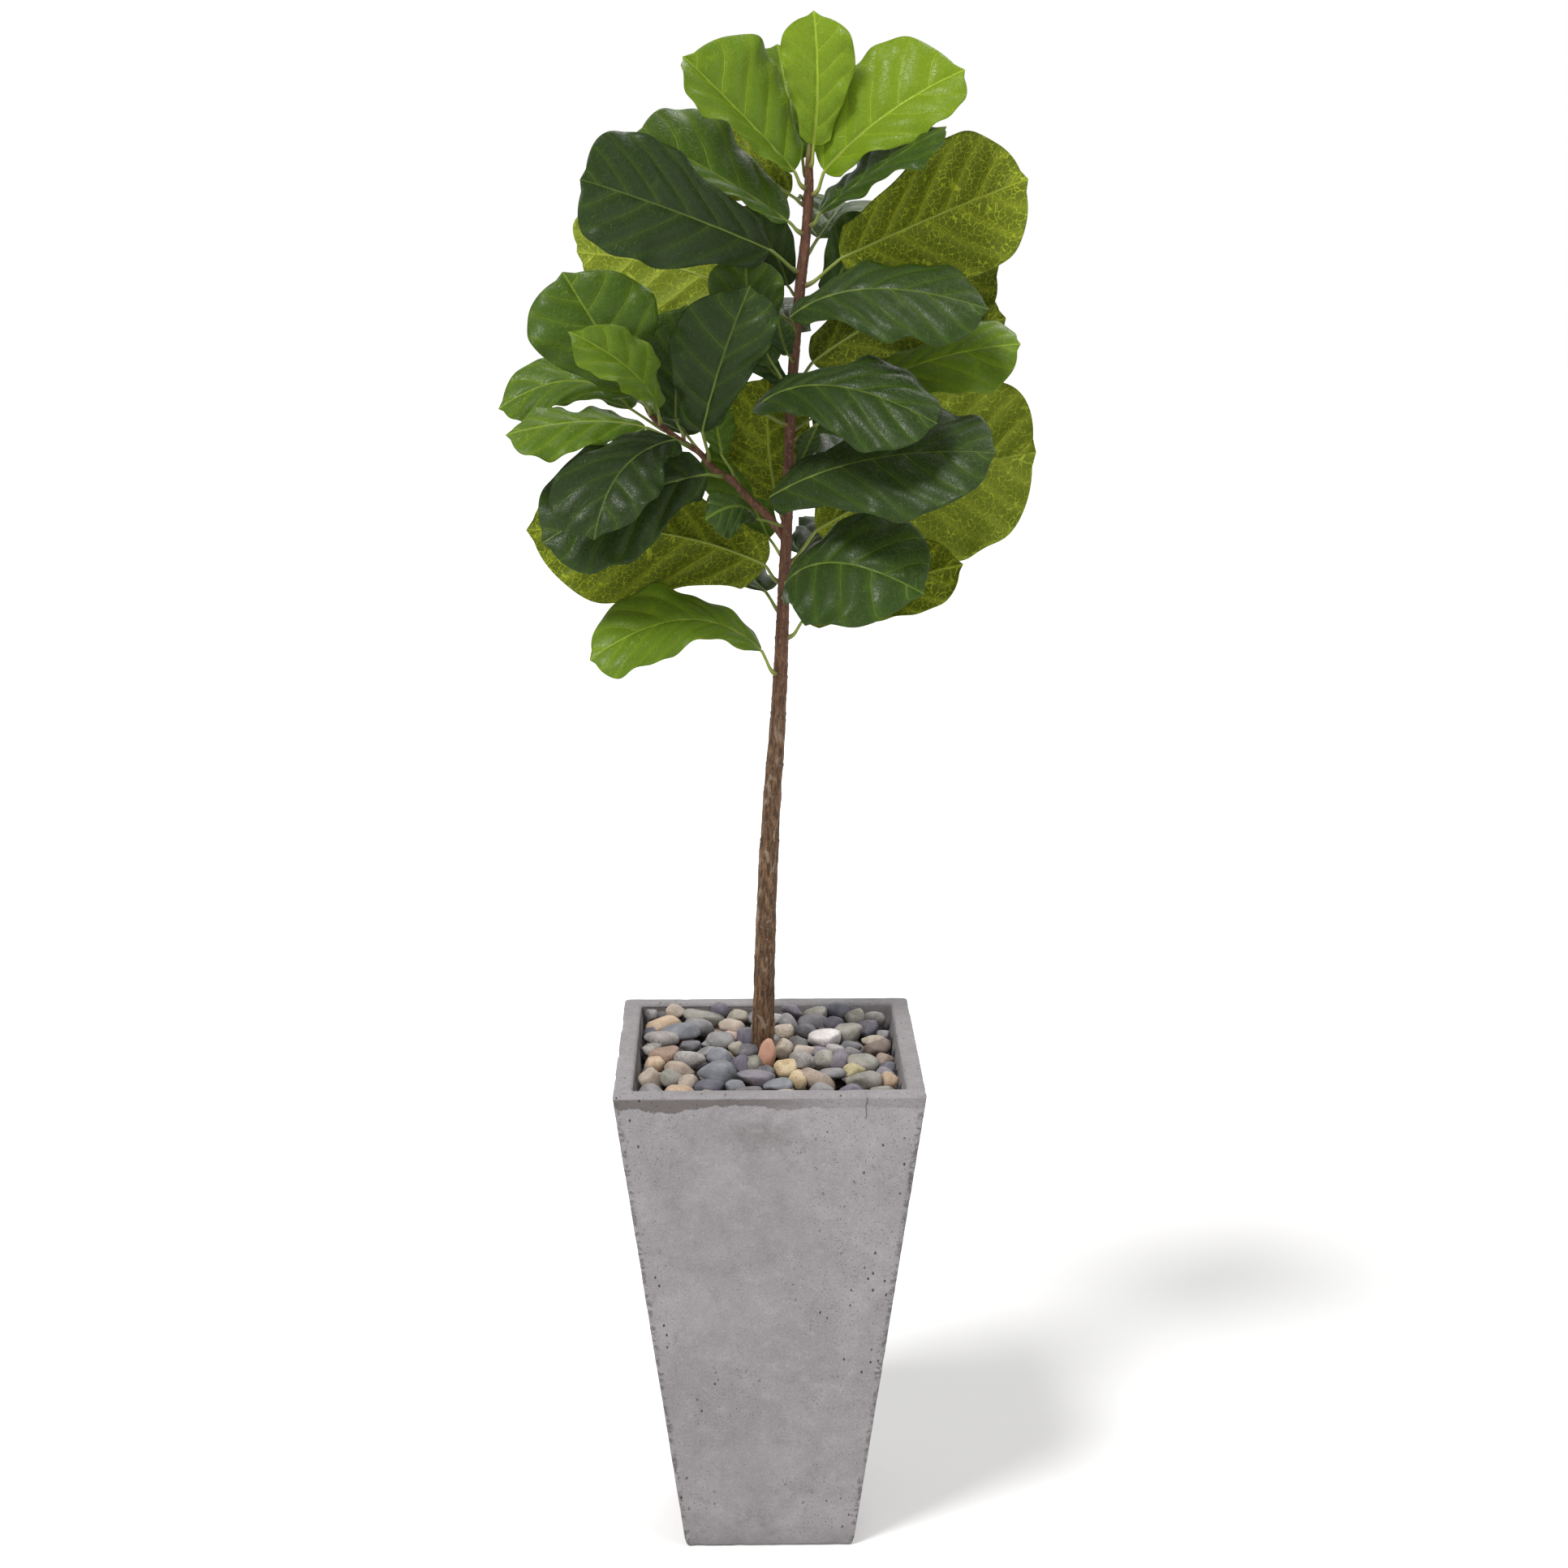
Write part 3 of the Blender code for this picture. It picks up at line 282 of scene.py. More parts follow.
# One leaf a row, in centimetres: the stem it grows on, the height (trunk) or fraction (branch) of its joint,
# the blade's base, middle of the midrib and tip, then the left and right margins at the broadest station,
# as seen with the upper side facing the viewer and the tip up.
LEAVES = {
    "crown_centre": ("trunk", 138.6, (4.4, -1.0, 140.6), (4.7, -2.0, 146.4), (4.4, -1.5, 152.2),
        (1.3, -2.6, 148.3), (8.2, -2.4, 148.0)),
    "crown_left": ("trunk", 136.6, (2.6, -0.9, 138.2), (-1.9, -2.2, 142.9), (-7.4, -2.6, 148.2),
        (-5.6, -6.2, 143.6), (0.2, 0.4, 149.0)),
    "crown_right": ("trunk", 136.0, (5.4, -0.8, 138.2), (10.9, -2.6, 143.2), (18.0, -1.8, 147.2),
        (9.7, 0.4, 149.2), (15.0, -5.6, 141.9)),
    "crown_back": ("trunk", 137.6, (3.4, 1.2, 139.4), (2.2, 3.6, 144.4), (1.2, 6.6, 149.6),
        (-2.8, 4.6, 146.4), (6.0, 5.2, 146.4)),
    "upper_left": ("trunk", 132.4, (2.0, -1.0, 133.6), (-4.9, -2.0, 138.0), (-11.9, -3.0, 141.4),
        (-8.0, -5.6, 137.6), (-5.4, 2.0, 143.4)),
    "dark_left": ("trunk", 128.8, (0.3, -2.0, 131.0), (-8.0, -8.0, 134.5), (-16.5, -10.8, 137.4),
        (-12.6, -12.4, 130.2), (-11.0, -7.2, 141.6)),
    "upper_right": ("trunk", 133.2, (5.0, -1.0, 134.4), (9.9, -4.2, 138.2), (16.0, -6.6, 142.0),
        (9.6, 0.4, 140.2), (13.2, -8.6, 138.6)),
    "big_right": ("trunk", 127.6, (7.0, -0.6, 130.1), (15.0, -0.8, 133.7), (24.3, 0.2, 137.3),
        (20.0, -2.6, 128.8), (16.2, 0.8, 140.9)),
    "back_left": ("trunk", 124.0, (-1.6, 4.0, 126.4), (-9.0, 6.4, 129.0), (-18.0, 8.0, 130.4),
        (-14.4, 8.8, 134.6), (-12.4, 4.8, 123.8)),
    "behind_top": ("trunk", 135.0, (2.2, 1.8, 136.0), (-2.4, 4.8, 139.4), (-7.0, 7.8, 143.2),
        (-1.6, 7.6, 143.8), (-6.4, 4.4, 136.6)),
    "mid_right": ("trunk", 123.2, (2.2, -3.2, 124.9), (9.4, -6.4, 127.6), (19.9, -9.4, 126.0),
        (13.0, -3.4, 130.0), (12.2, -11.6, 123.0)),
    "behind_mid_right": ("trunk", 118.4, (4.4, 1.6, 120.2), (12.6, 4.4, 125.0), (22.2, 5.8, 129.0),
        (17.8, 3.2, 121.8), (13.6, 6.8, 131.0)),
    "back_right": ("trunk", 116.0, (5.2, 3.6, 117.4), (13.8, 8.0, 120.6), (23.4, 9.8, 123.8),
        (18.8, 7.6, 117.0), (15.8, 10.4, 126.6)),
    "olive_right": ("trunk", 113.0, (8.0, -1.0, 117.0), (15.0, -3.0, 120.6), (23.4, -4.0, 122.3),
        (18.8, -0.8, 124.0), (19.0, -6.0, 117.9)),
    "centre_droop": ("trunk", 114.4, (-1.4, -3.2, 116.2), (5.4, -8.4, 118.9), (15.0, -13.4, 116.0),
        (11.0, -7.2, 120.7), (7.4, -13.6, 114.2)),
    "low_right_droop": ("trunk", 106.2, (0.2, -2.8, 107.8), (9.2, -8.8, 112.0), (20.6, -11.2, 112.9),
        (15.0, -5.0, 116.5), (12.4, -14.0, 107.4)),
    "big_low_right": ("trunk", 101.0, (4.8, 1.2, 104.0), (14.6, 2.2, 108.6), (25.8, 2.0, 111.4),
        (20.2, 0.6, 101.6), (18.6, 5.2, 118.2)),
    "glossy_low_right": ("trunk", 97.6, (1.8, -2.8, 99.6), (6.6, -8.0, 102.2), (14.2, -11.2, 99.9),
        (11.6, -5.6, 106.5), (4.4, -12.4, 96.8)),
    "behind_low_right": ("trunk", 93.6, (3.6, -0.6, 95.6), (10.4, -2.4, 98.8), (18.4, -3.2, 101.2),
        (13.8, -4.2, 96.4), (11.6, -0.4, 102.8)),
    "lowest_left": ("trunk", 90.0, (-0.6, -1.8, 92.7), (-7.8, -5.0, 96.3), (-16.6, -8.0, 93.2),
        (-10.6, -9.6, 93.0), (-11.4, -1.8, 98.8)),
    "big_low_left": ("trunk", 99.0, (-0.2, 1.0, 100.6), (-10.6, 2.6, 103.6), (-23.2, 3.6, 103.8),
        (-12.8, 5.4, 109.6), (-14.4, 1.4, 96.9)),
    "quilted_left": ("branch", 0.93, (-12.4, -1.4, 117.6), (-15.4, -3.4, 122.8), (-19.0, -2.4, 128.6),
        (-21.8, -4.6, 122.2), (-10.8, -2.6, 126.6)),
    "folded_left": ("branch", 0.86, (-10.4, -3.0, 116.2), (-12.8, -7.0, 120.2), (-17.9, -10.0, 123.7),
        (-15.0, -11.4, 119.6), (-11.6, -5.4, 122.9)),
    "far_left": ("branch", 0.82, (-13.2, 1.8, 115.8), (-18.6, 3.2, 118.4), (-25.6, 2.4, 116.0),
        (-21.4, 0.0, 115.2), (-20.2, 6.2, 120.6)),
    "pale_left": ("branch", 0.76, (-11.6, -2.0, 114.4), (-17.2, -4.2, 115.2), (-24.2, -6.0, 114.2),
        (-19.4, -7.6, 112.2), (-19.6, -1.4, 116.2)),
    "centre_dark": ("branch", 0.56, (-6.2, -2.4, 114.0), (-4.4, -4.8, 120.6), (-1.8, -5.0, 127.4),
        (-9.2, -5.2, 122.9), (0.4, -5.4, 122.4)),
    "behind_centre": ("trunk", 118.2, (0.6, -1.6, 120.2), (-1.4, -2.0, 125.0), (-2.0, -1.6, 130.2),
        (-5.4, -1.4, 126.6), (1.6, -1.6, 127.4)),
    "front_low_left": ("branch", 0.68, (-8.8, -2.8, 113.3), (-13.6, -8.0, 111.1), (-16.1, -11.6, 105.4),
        (-10.2, -10.2, 109.1), (-19.8, -9.4, 109.9)),
    "broad_low_left": ("branch", 0.46, (-5.8, -2.2, 109.9), (-12.8, -4.8, 108.2), (-21.0, -6.8, 104.2),
        (-13.4, -8.6, 102.3), (-17.8, -1.8, 112.0)),
    "behind_low_centre": ("trunk", 105.0, (1.0, 1.8, 107.0), (0.2, 3.2, 112.0), (0.2, 5.4, 118.2),
        (4.4, 3.8, 113.8), (-4.9, 3.6, 114.0)),
    "small_left": ("branch", 0.4, (-4.4, 1.2, 111.4), (-4.8, 1.8, 113.6), (-5.4, 2.4, 116.4),
        (-6.8, 1.4, 114.4), (-3.0, 2.6, 114.4)),
    "small_right": ("trunk", 109.6, (3.2, -0.6, 110.8), (3.9, -1.0, 112.4), (4.6, -1.4, 114.0),
        (2.9, -0.7, 113.0), (5.0, -1.6, 112.4)),
    "under_branch": ("trunk", 104.6, (-1.0, -2.4, 105.6), (-2.8, -4.8, 107.2), (-5.6, -6.8, 106.4),
        (-3.4, -6.8, 104.6), (-4.6, -3.8, 108.4)),
    "small_front": ("trunk", 120.4, (2.0, -2.6, 121.2), (1.4, -3.4, 122.8), (1.0, -3.6, 124.8),
        (-0.2, -3.4, 123.4), (2.6, -3.4, 123.2)),
    "inner_left": ("branch", 0.72, (-8.8, 1.6, 114.8), (-8.6, 2.0, 119.6), (-7.8, 3.0, 125.2),
        (-12.2, 1.8, 121.6), (-4.6, 3.4, 121.4)),
    "inner_right": ("trunk", 113.8, (4.4, 2.0, 114.8), (8.2, 2.6, 116.0), (12.6, 2.8, 118.2),
        (6.8, 2.0, 119.0), (10.4, 2.4, 112.8)),
    "inner_high": ("trunk", 126.5, (2.0, 1.8, 127.5), (0.5, 2.4, 131.0), (-2.5, 2.6, 134.5),
        (-3.2, 2.4, 130.6), (1.8, 2.2, 133.8)),
    "inner_high_right": ("trunk", 124.8, (5.6, 1.6, 126.4), (7.8, 1.7, 130.0), (10.0, 1.8, 134.0),
        (6.1, 1.6, 132.8), (10.9, 1.6, 130.0)),
    "inner_middle": ("trunk", 116.5, (1.6, 2.2, 118.2), (-0.6, 2.6, 120.6), (-2.8, 2.8, 123.0),
        (-3.1, 2.6, 120.2), (0.2, 2.4, 122.2)),
    "inner_low": ("trunk", 101.5, (0.2, 3.0, 103.0), (-2.2, 4.8, 107.4), (-5.2, 6.2, 111.8),
        (-5.8, 5.0, 107.2), (-0.4, 5.4, 110.6)),
    "rear_top": ("trunk", 130.4, (5.0, 2.4, 132.0), (7.4, 8.6, 134.8), (8.4, 16.4, 134.6),
        (3.2, 11.4, 135.8), (12.2, 10.2, 134.8)),
    "rear_upper": ("trunk", 121.4, (2.4, 2.8, 123.0), (1.0, 9.4, 125.4), (-1.0, 18.2, 124.8),
        (-5.6, 11.6, 125.8), (5.6, 12.6, 125.2)),
    "rear_right": ("trunk", 109.2, (5.2, 3.2, 110.4), (9.4, 10.4, 112.4), (12.4, 18.0, 111.2),
        (5.6, 13.6, 113.2), (14.2, 9.8, 112.4)),
    "rear_left": ("branch", 0.6, (-7.8, 2.6, 113.2), (-10.8, 9.0, 116.4), (-14.4, 17.0, 116.2),
        (-17.4, 10.0, 117.0), (-6.6, 12.8, 116.6)),
    "rear_low_right": ("trunk", 100.0, (3.2, 2.6, 101.6), (7.2, 9.2, 103.4), (10.2, 17.8, 101.4),
        (3.6, 13.0, 103.4), (13.6, 10.2, 103.0)),
    "rear_low_left": ("trunk", 96.0, (-0.2, 2.8, 97.8), (-4.6, 9.2, 100.2), (-9.0, 17.4, 99.4),
        (-12.0, 10.2, 100.6), (-1.4, 13.0, 100.4)),
}

# ---------------------------------------------------------------- materials


class Look:
    """A material and short calls that add its nodes."""

    def __init__(self, name):
        self.material = bpy.data.materials.new(name)
        self.material.use_nodes = True
        self.tree = self.material.node_tree
        self.shader = self.tree.nodes["Principled BSDF"]

    def feed(self, socket, value):
        if isinstance(value, bpy.types.NodeSocket):
            self.tree.links.new(value, socket)
        elif value is not None:
            socket.default_value = value

    def node(self, kind, **settings):
        made = self.tree.nodes.new(kind)
        for key, value in settings.items():
            setattr(made, key, value)
        return made

    def place(self):
        return self.node("ShaderNodeTexCoord").outputs["Object"]

    def attribute(self, name):
        return self.node("ShaderNodeAttribute", attribute_name=name)

    def math(self, operation, *values, clamp=False):
        made = self.node("ShaderNodeMath", operation=operation, use_clamp=clamp)
        for socket, value in zip(made.inputs, values):
            self.feed(socket, value)
        return made.outputs[0]

    def times(self, first, second):
        return self.math("MULTIPLY", first, second)

    def scaled(self, vector, scale):
        made = self.node("ShaderNodeVectorMath", operation="MULTIPLY")
        self.feed(made.inputs[0], vector)
        made.inputs[1].default_value = scale
        return made.outputs[0]

    def split(self, vector):
        made = self.node("ShaderNodeSeparateXYZ")
        self.feed(made.inputs[0], vector)
        return made.outputs

    def joined(self, x, y, z):
        made = self.node("ShaderNodeCombineXYZ")
        for socket, value in zip(made.inputs, (x, y, z)):
            self.feed(socket, value)
        return made.outputs[0]

    def noise(self, vector, scale, detail=4.0, roughness=0.55, distortion=0.0):
        made = self.node("ShaderNodeTexNoise")
        self.feed(made.inputs["Vector"], vector)
        for name, value in (("Scale", scale), ("Detail", detail), ("Roughness", roughness),
                            ("Distortion", distortion)):
            made.inputs[name].default_value = value
        return made.outputs["Fac"]

    def cells(self, vector, scale, feature="F1", randomness=1.0):
        made = self.node("ShaderNodeTexVoronoi", feature=feature)
        self.feed(made.inputs["Vector"], vector)
        made.inputs["Scale"].default_value = scale
        made.inputs["Randomness"].default_value = randomness
        return made.outputs["Distance"]

    def step(self, value, low, high):
        """0 up to low, 1 from high, smooth between them. It falls where low is above high."""
        made = self.node("ShaderNodeMapRange", interpolation_type="SMOOTHSTEP")
        self.feed(made.inputs["Value"], value)
        made.inputs["From Min"].default_value = min(low, high)
        made.inputs["From Max"].default_value = max(low, high)
        made.inputs["To Min"].default_value = 0.0 if low < high else 1.0
        made.inputs["To Max"].default_value = 1.0 if low < high else 0.0
        return made.outputs["Result"]

    def mix(self, share, first, second, blend="MIX"):
        made = self.node("ShaderNodeMix", data_type="RGBA", blend_type=blend)
        self.feed(made.inputs["Factor"], share)
        for socket, value in ((made.inputs["A"], first), (made.inputs["B"], second)):
            self.feed(socket, (*value, 1.0) if isinstance(value, tuple) else value)
        return made.outputs["Result"]

    def ramp(self, value, stops):
        made = self.node("ShaderNodeValToRGB")
        self.feed(made.inputs["Fac"], value)
        points = made.color_ramp.elements
        while len(points) < len(stops):
            points.new(0.5)
        for point, (where, colour) in zip(points, stops):
            point.position = where
            point.color = (*colour, 1.0)
        return made.outputs["Color"]

    def bump(self, height, distance, strength=1.0, below=None):
        made = self.node("ShaderNodeBump")
        self.feed(made.inputs["Height"], height)
        made.inputs["Distance"].default_value = distance
        made.inputs["Strength"].default_value = strength
        self.feed(made.inputs["Normal"], below)
        return made.outputs["Normal"]

    def finish(self, colour, roughness, normal=None, **settings):
        self.feed(self.shader.inputs["Base Color"], colour)
        self.feed(self.shader.inputs["Roughness"], roughness)
        self.feed(self.shader.inputs["Normal"], normal)
        for name, value in settings.items():
            self.shader.inputs[name.replace("_", " ")].default_value = value
        return self.material


def blade_veins(look):
    """Masks on a blade: midrib, lateral veins, the net between them, and the tone it was given."""
    across, along, phase = look.split(look.attribute("blade").outputs["Vector"])
    away = look.math("ABSOLUTE", across)
    flat = look.joined(across, along, 0.0)
    wobble = look.noise(flat, 45.0, detail=2.0)
    wandering = look.math("ADD", phase, look.times(look.math("SUBTRACT", wobble, 0.5), 0.10))
    nearest = look.math("ABSOLUTE", look.math("SUBTRACT", look.math("FRACT", wandering), 0.5))
    to_vein = look.math("SUBTRACT", 0.5, nearest)
    narrowing = look.math("MULTIPLY_ADD", away, -0.30, 0.032)
    lateral = look.math("SUBTRACT", 1.0, look.math("DIVIDE", to_vein, look.math("MAXIMUM", narrowing, 0.012)),
                        clamp=True)
    rib_width = look.math("MULTIPLY_ADD", along, -0.0062, 0.0019)
    midrib = look.math("SUBTRACT", 1.0, look.math("DIVIDE", away, look.math("MAXIMUM", rib_width, 0.0004)),
                       clamp=True)
    warp = look.noise(flat, 210.0, detail=2.0)
    warped = look.joined(look.math("MULTIPLY_ADD", warp, 0.0050, across),
                         look.math("MULTIPLY_ADD", warp, 0.0044, along), 0.0)
    coarse = look.step(look.cells(warped, 165.0, "DISTANCE_TO_EDGE"), 0.060, 0.012)
    fine = look.step(look.cells(warped, 480.0, "DISTANCE_TO_EDGE"), 0.080, 0.0)
    tone = look.attribute("tone").outputs["Fac"]
    return {"midrib": midrib, "lateral": lateral, "coarse": coarse, "fine": fine, "tone": tone,
            "flat": flat, "halo": look.step(to_vein, 0.30, 0.0)}


def leaf_upper():
    look = Look("leaf_upper")
    veins = blade_veins(look)
    patches = look.noise(veins["flat"], 28.0, detail=5.0)
    tone = look.math("MULTIPLY_ADD", look.math("SUBTRACT", patches, 0.5), 0.16, veins["tone"], clamp=True)
    base = look.ramp(tone, UPPER_TONES)
    lit = look.ramp(look.math("ADD", tone, 0.30, clamp=True), UPPER_TONES)
    colour = look.mix(look.times(veins["halo"], 0.30), base, lit)
    colour = look.mix(look.times(veins["fine"], 0.16), colour, lit)
    colour = look.mix(look.times(veins["coarse"], 0.30), colour, lit)
    pale = look.ramp(tone, VEIN_TONES)
    colour = look.mix(look.times(veins["lateral"], 0.80), colour, pale)
    colour = look.mix(look.times(look.math("POWER", veins["midrib"], 0.5), 0.95), colour, pale)
    dust = look.noise(veins["flat"], 900.0, detail=2.0)
    roughness = look.math("MULTIPLY_ADD", patches, 0.16, look.math("MULTIPLY_ADD", dust, 0.08, 0.24))
    net = look.math("MULTIPLY_ADD", veins["coarse"], -0.6, look.times(veins["fine"], -0.3))
    ridges = look.math("ADD", net, look.times(look.step(veins["lateral"], 0.0, 1.0), -1.0))
    normal = look.bump(ridges, 0.0005, 0.8)
    normal = look.bump(dust, 0.00010, 0.6, normal)
    return look.finish(colour, roughness, normal, Specular_IOR_Level=0.22)


def leaf_under():
    look = Look("leaf_under")
    veins = blade_veins(look)
    patches = look.noise(veins["flat"], 22.0, detail=4.0)
    tone = look.math("MULTIPLY_ADD", look.math("SUBTRACT", patches, 0.5), 0.14, veins["tone"], clamp=True)
    base = look.ramp(tone, UNDER_TONES)
    pale = look.ramp(tone, UNDER_VEIN_TONES)
    colour = look.mix(look.times(veins["halo"], 0.25), base, pale)
    colour = look.mix(look.times(veins["fine"], 0.20), colour, pale)
    colour = look.mix(look.times(veins["coarse"], 0.85), colour, pale)
    colour = look.mix(veins["lateral"], colour, pale)
    colour = look.mix(look.math("POWER", veins["midrib"], 0.4), colour, pale)
    down = look.noise(veins["flat"], 1200.0, detail=2.0)
    roughness = look.math("MULTIPLY_ADD", down, 0.2, 0.42)
    net = look.math("MULTIPLY_ADD", veins["coarse"], 0.8, look.times(veins["fine"], 0.4))
    ridges = look.math("ADD", net, look.times(look.step(veins["lateral"], 0.0, 1.0), 1.6))
    normal = look.bump(ridges, 0.0005, 0.9)
    return look.finish(colour, roughness, normal, Specular_IOR_Level=0.14)


def leaf_stalk():
    look = Look("leaf_stalk")
    place = look.place()
    streaks = look.noise(look.scaled(place, (1.0, 1.0, 0.25)), 420.0, detail=3.0)
    tone = look.attribute("tone").outputs["Fac"]
    green = look.ramp(tone, ((0.0, (0.10, 0.16, 0.02)), (1.0, (0.30, 0.36, 0.05))))
    brown = look.mix(streaks, (0.16, 0.10, 0.035), (0.10, 0.05, 0.02))
    woody = look.attribute("woody").outputs["Fac"]
    colour = look.mix(look.times(streaks, 0.35), green, (0.20, 0.20, 0.05))
    colour = look.mix(woody, colour, brown)
    return look.finish(colour, look.math("MULTIPLY_ADD", streaks, 0.2, 0.40), look.bump(streaks, 0.0002, 0.7))


def bark():
    """Mottled ridged bark on the lower trunk, thinner reddish bark with leaf scars above."""
    look = Look("bark")
    place = look.place()
    height = look.split(place)[2]
    stretched = look.scaled(place, (1.0, 1.0, 0.22))
    fibres = look.noise(stretched, 330.0, detail=6.0, roughness=0.65, distortion=0.6)
    plates = look.noise(look.scaled(place, (1.0, 1.0, 0.45)), 75.0, detail=5.0, roughness=0.6, distortion=1.2)
    specks = look.noise(place, 900.0, detail=2.0)
    old = look.ramp(fibres, ((0.28, (0.020, 0.010, 0.006)), (0.46, (0.075, 0.038, 0.018)),
                             (0.60, (0.17, 0.095, 0.048)), (0.78, (0.36, 0.25, 0.15))))
    lichen = look.step(plates, 0.54, 0.66)
    old = look.mix(look.times(lichen, 0.55), old, (0.34, 0.28, 0.21))
    young = look.ramp(fibres, ((0.30, (0.045, 0.020, 0.012)), (0.55, (0.13, 0.055, 0.030)),
                               (0.75, (0.24, 0.13, 0.075))))
    share = look.step(look.math("MULTIPLY_ADD", plates, 0.12, height), 0.86, 1.04)
    colour = look.mix(share, old, young)
    tip = look.step(height, 1.385, 1.405)
    colour = look.mix(tip, colour, look.mix(specks, (0.16, 0.19, 0.04), (0.30, 0.22, 0.10)))
    colour = look.mix(look.step(specks, 0.66, 0.74), colour, (0.45, 0.36, 0.26))
    # Painted shade: the low places of the bark's relief, its hollows, are darkened almost to black.
    painted_hollow_shade = look.step(look.attribute("relief").outputs["Fac"], 0.42, 0.0)
    colour = look.mix(look.times(painted_hollow_shade, 0.75), colour, (0.022, 0.012, 0.008))
    normal = look.bump(fibres, 0.0012, 0.9)
    normal = look.bump(specks, 0.0003, 0.6, normal)
    return look.finish(colour, look.math("MULTIPLY_ADD", fibres, 0.25, 0.55), normal, Specular_IOR_Level=0.3)


def river_stone(name, first, second, speckle):
    """A water-worn stone: two colours in soft clouds, faint layers, mineral specks and a fine tooth."""
    look = Look("stone_" + name)
    first = tuple(c * tint for c, tint in zip(first, STONE_TINT))
    second = tuple(c * tint for c, tint in zip(second, STONE_TINT))
    place = look.place()
    shifted = look.node("ShaderNodeVectorMath", operation="ADD")
    look.feed(shifted.inputs[0], place)
    look.feed(shifted.inputs[1], look.attribute("shift").outputs["Vector"])
    place = shifted.outputs[0]
    clouds = look.noise(place, 70.0, detail=6.0, roughness=0.6, distortion=0.4)
    layers = look.noise(look.scaled(place, (1.0, 1.0, 6.0)), 60.0, detail=3.0)
    grain = look.noise(place, 1100.0, detail=3.0, roughness=0.7)
    colour = look.mix(look.step(clouds, 0.36, 0.64), first, second)
    colour = look.mix(look.times(look.step(layers, 0.5, 0.68), 0.22), colour, second)
    dark = look.step(look.cells(place, 330.0), 0.26, 0.12)
    darker = tuple(0.25 * c for c in first)
    colour = look.mix(look.times(dark, speckle), colour, darker)
    light = look.step(look.noise(place, 700.0, detail=2.0), 0.60, 0.70)
    lighter = tuple(min(1.0, 1.5 * c + 0.10) for c in second)
    colour = look.mix(look.times(light, 0.20 + 0.45 * speckle), colour, lighter)
    colour = look.mix(look.times(grain, 0.25), colour, darker)
    pits = look.math("MULTIPLY_ADD", dark, -0.5, look.times(grain, 0.6))
    normal = look.bump(pits, 0.0004, 0.55)
    return look.finish(colour, look.math("MULTIPLY_ADD", clouds, 0.25, 0.42), normal, Specular_IOR_Level=0.45)


def soil():
    look = Look("potting_mix")
    place = look.place()
    crumbs = look.cells(place, 260.0)
    clouds = look.noise(place, 90.0, detail=5.0)
    colour = look.ramp(crumbs, ((0.0, (0.045, 0.030, 0.020)), (0.5, (0.020, 0.013, 0.009)),
                                (0.9, (0.070, 0.045, 0.028))))
    colour = look.mix(look.step(clouds, 0.60, 0.70), colour, (0.11, 0.075, 0.045))
    return look.finish(colour, 0.95, look.bump(crumbs, 0.002, 0.9), Specular_IOR_Level=0.2)


